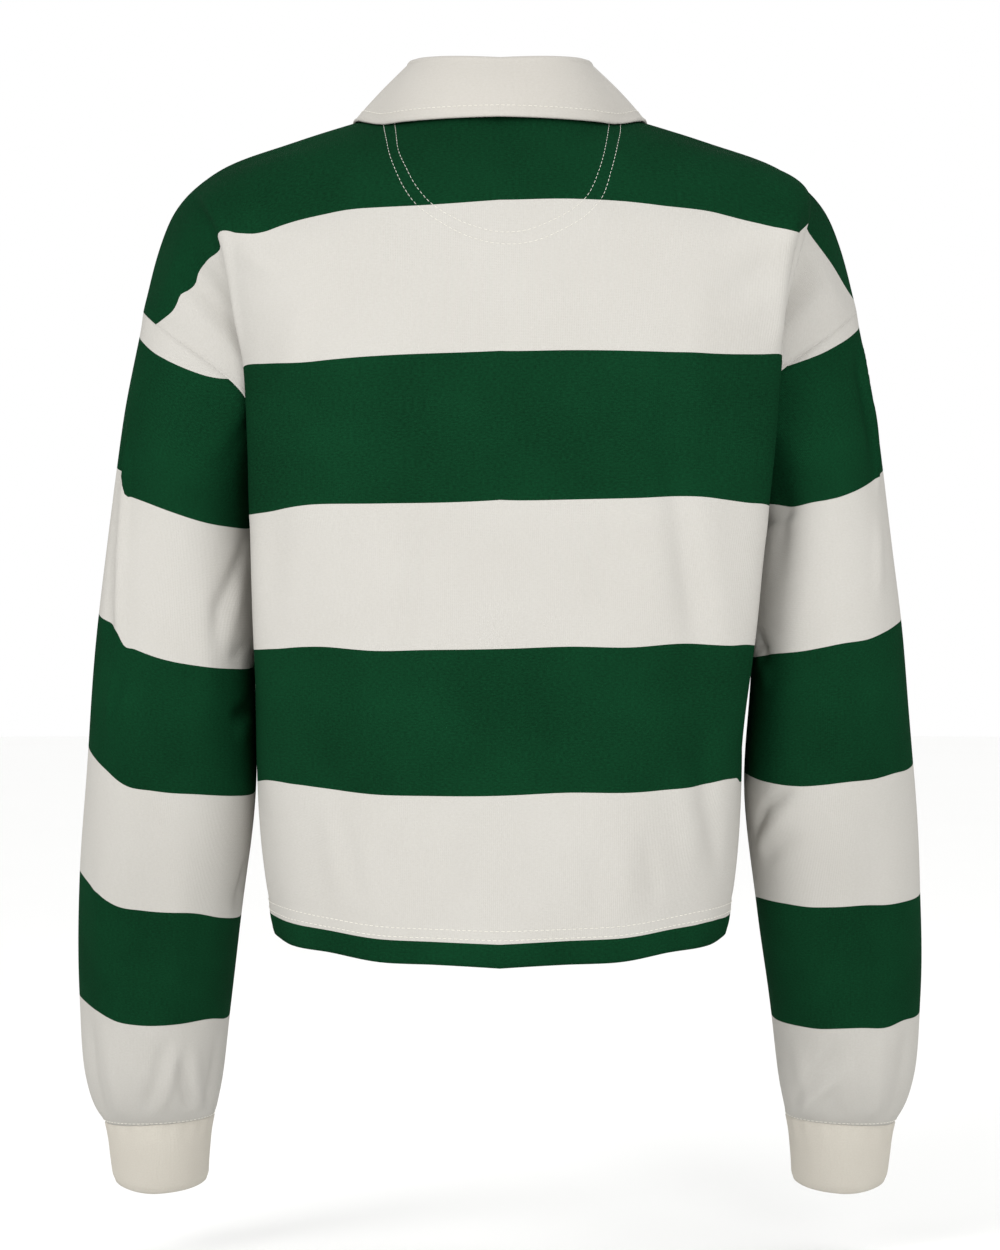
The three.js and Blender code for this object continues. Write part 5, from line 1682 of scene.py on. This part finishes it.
def sew_everything(garment: Garment, collar: Collar, thread: bpy.types.Material) -> None:
    """Sews the rows that hold or finish the pieces.

    Args:
        garment: the cloth pieces.
        collar: the collar, for the row near its edge.
        thread: the cream thread.
    """
    back, front = garment.back, garment.front
    face = JERSEY / 2
    moon = Seamstress("neck_half_moon_stitches", Stitching(radius=0.13))
    for row in (MOON_OUTER, MOON_INNER):
        moon.sew(back.frame, line_of(row), face)
    moon.build(thread, "back")
    hem = Seamstress("hem_stitches", Stitching())
    for panel in (back, front):
        for course in HEM_STITCHES:
            hem.sew(panel.frame, line_of([(-STATION_MM + 2, course), (STATION_MM - 2, course)]), face)
    hem.build(thread, "back and front")
    cuffs = Seamstress("sleeve_end_stitches", Stitching(length=2.2, pitch=2.8, radius=0.18))
    for sleeve in garment.sleeves.values():
        cuffs.sew(sleeve.frame, line_of([(0, SLEEVE_END_STITCHES), (ROUND_MM, SLEEVE_END_STITCHES)]), face)
    cuffs.build(thread, "sleeves")
    strip = Seamstress("placket_stitches", Stitching(length=2.2, pitch=2.8, radius=0.18))
    top = float(front.top_of(np.array([13.0]))[0])
    outside = face + LIE_GAP + PLACKET_CLOTH
    strip.sew(front.frame, line_of([(13, top + 6), (13, 197.5)]), outside)
    strip.sew(front.frame, line_of([(-13, 197.5), (-13, top + 6)]), outside)
    for line in (((12, 197.5), (-12, 197.5)), ((12, 183.5), (-12, 183.5)), ((12, 184.5), (-12, 196.5)),
                 ((-12, 184.5), (12, 196.5))):
        strip.sew(front.frame, line_of(line), outside)
    strip.build(thread, "placket")
    edge = Seamstress("collar_edge_stitches", Stitching())
    turns = np.linspace(-0.985, 0.985, 520)
    profile = collar.profiles(turns)
    normals = grid_normals(profile, False, 1.0)
    lengths = np.cumsum(np.linalg.norm(np.diff(profile[::-1], axis=0), axis=2), axis=0)
    rows = len(profile)
    along, normal = np.empty((len(turns), 3)), np.empty((len(turns), 3))
    for c in range(len(turns)):
        reach = np.concatenate([[0], lengths[:, c]])
        for k in range(3):
            along[c, k] = np.interp(COLLAR_EDGE_STITCHES, reach, profile[::-1, c, k])
            normal[c, k] = np.interp(COLLAR_EDGE_STITCHES, reach, normals[::-1, c, k])
    normal = unit(normal)
    edge.parts.append(edge.stitching.row(along + normal * COLLAR_CLOTH / 2, normal, 3))
    for sign in (1, -1):
        end = profiles_end(profile, normals, sign)
        edge.parts.append(edge.stitching.row(end[0] + end[1] * COLLAR_CLOTH / 2, end[1], 4 + sign))
    LOG.info("collar edge sewn along %d rows of points", rows)
    edge.build(thread, "collar")


def profiles_end(profile: Array, normals: Array, sign: int) -> tuple[Array, Array]:
    """Points and normals of a row beside one front end of the collar's fall.

    Args:
        profile: the collar's points.
        normals: its normals.
        sign: 1 for the left end, -1 for the right one.

    Returns:
        The row's points and normals.
    """
    order = profile if sign < 0 else profile[:, ::-1]
    facing = normals if sign < 0 else normals[:, ::-1]
    rows = range(19, len(profile) - 3)
    points, out = [], []
    for r in rows:
        reach = np.concatenate([[0], np.cumsum(np.linalg.norm(np.diff(order[r, :80], axis=0), axis=1))])
        points.append([np.interp(COLLAR_EDGE_STITCHES, reach, order[r, :80, k]) for k in range(3)])
        out.append([np.interp(COLLAR_EDGE_STITCHES, reach, facing[r, :80, k]) for k in range(3)])
    return np.array(points), unit(np.array(out))


@dataclass(frozen=True)
class Studio:
    """Floor, light and camera."""

    floor_level: float = -0.705
    distance: float = 2.300
    level: float = -0.3042
    lens: float = 110.4
    backdrop: float = 1.0

    def floor(self) -> None:
        """A plain pale floor with a soft rounded edge, wide enough to fill the picture below the horizon."""
        steps = 72
        rings = [(0.0, 0.0), (3.0, 0.0), (9.0, 0.0), (11.6, 0.0), (11.8, -0.02), (11.9, -0.08)]
        points, faces = [(0.0, 0.0, 0.0)], []
        for radius, height in rings[1:]:
            points += [(radius * math.cos(2 * math.pi * k / steps), radius * math.sin(2 * math.pi * k / steps), height)
                       for k in range(steps)]
        for k in range(steps):
            faces.append((0, 1 + k, 1 + (k + 1) % steps))
        for ring in range(len(rings) - 2):
            for k in range(steps):
                a, b = 1 + ring * steps + k, 1 + ring * steps + (k + 1) % steps
                faces.append((a, a + steps, b + steps, b))
        mesh = bpy.data.meshes.new("studio_floor")
        mesh.from_pydata(points, [], faces)
        for face in mesh.polygons:
            face.use_smooth = True
        mesh.materials.append(PlainFinish("floor_paint", (252, 252, 251), (250, 250, 249), 0.95, 2.0).build())
        item = bpy.data.objects.new("studio_floor", mesh)
        item.location = (0, 0, self.floor_level)
        bpy.context.scene.collection.objects.link(item)

    def lamp(self, name: str, place: Point, aim: Point, size: float, watts: float) -> None:
        """Adds a soft square light.

        Args:
            name: its name.
            place: where it stands.
            aim: what it points at.
            size: its width.
            watts: its power.
        """
        data = bpy.data.lights.new(name, "AREA")
        data.shape, data.size, data.energy = "SQUARE", size, watts
        item = bpy.data.objects.new(name, data)
        item.location = place
        item.rotation_euler = (Vector(aim) - Vector(place)).to_track_quat("-Z", "Y").to_euler()
        bpy.context.scene.collection.objects.link(item)

    def build(self) -> None:
        """Sets up the whole studio."""
        self.floor()
        world = bpy.data.worlds.new("studio")
        world.use_nodes = True
        background = world.node_tree.nodes["Background"]
        background.inputs["Color"].default_value = (1, 1, 1, 1)
        background.inputs["Strength"].default_value = self.backdrop
        bpy.context.scene.world = world
        bpy.context.scene.view_settings.view_transform = "Standard"
        self.lamp("key", (1.6, 2.4, 1.0), (0, 0, -0.3), 1.2, 38)
        self.lamp("front", (-0.7, 3.1, 0.1), (0.05, 0, -0.35), 0.8, 30)
        self.lamp("fill", (-1.8, 2.2, 0.4), (0, 0, -0.35), 1.6, 5)
        camera = bpy.data.cameras.new("camera")
        camera.lens, camera.sensor_width, camera.sensor_fit = self.lens, 36, "AUTO"
        item = bpy.data.objects.new("camera", camera)
        item.location = (0, self.distance, self.level)
        item.rotation_euler = (math.radians(90), 0, math.radians(180))
        bpy.context.scene.collection.objects.link(item)
        bpy.context.scene.camera = item


def main() -> None:
    """Builds the shirt's cloth, its stitches and buttons, then the studio."""
    logging.basicConfig(level=logging.INFO, format="%(name)s: %(message)s")
    back = Panel(Face.BACK, BACK_TOP, BACK_TOP_COURSE, BACK_YOKE, BACK_SECTIONS, BACK_FOLDS, 11, BACK_STRIPES)
    front = Panel(Face.FRONT, FRONT_TOP, FRONT_TOP_COURSE, FRONT_YOKE, FRONT_SECTIONS, FRONT_FOLDS, 12,
                  slit=(7.2, 190))
    armhole = Armhole.of(back, front)
    sleeves = {
        Side.LEFT: Sleeve(Side.LEFT, back, front, armhole, LEFT_SLEEVE_FOLDS, LEFT_SLEEVE_STRIPES, 21),
        Side.RIGHT: Sleeve(Side.RIGHT, back, front, armhole, RIGHT_SLEEVE_FOLDS, RIGHT_SLEEVE_STRIPES, 22),
    }
    jersey = ClothFinish("striped_jersey", CREAM_DYE, Weave.JERSEY, stripe=GREEN_DYE).build()
    cuff_knit = ClothFinish("cuff_knit", CUFF_DYE, Weave.CUFF, bump=0.5).build()
    twill = ClothFinish("collar_cloth", COLLAR_DYE, Weave.TWILL, bump=0.3, nap=0.12, roughness=0.85).build()
    thread = PlainFinish("cream_thread", (226, 224, 214), (205, 202, 190), 0.6, 900, nap=0.2).build()
    rubber = PlainFinish("button_rubber", (232, 228, 218), (226, 221, 210), 0.45, 250).build()
    garment = Garment(back, front, sleeves, jersey, cuff_knit, twill)
    garment.build_body()
    garment.build_sleeves()
    collar = garment.build_collar()
    garment.build_placket()
    garment.declare()
    Buttons(front, rubber, thread).build()
    sew_everything(garment, collar, thread)
    Studio().build()


if __name__ == "__main__":
    main()
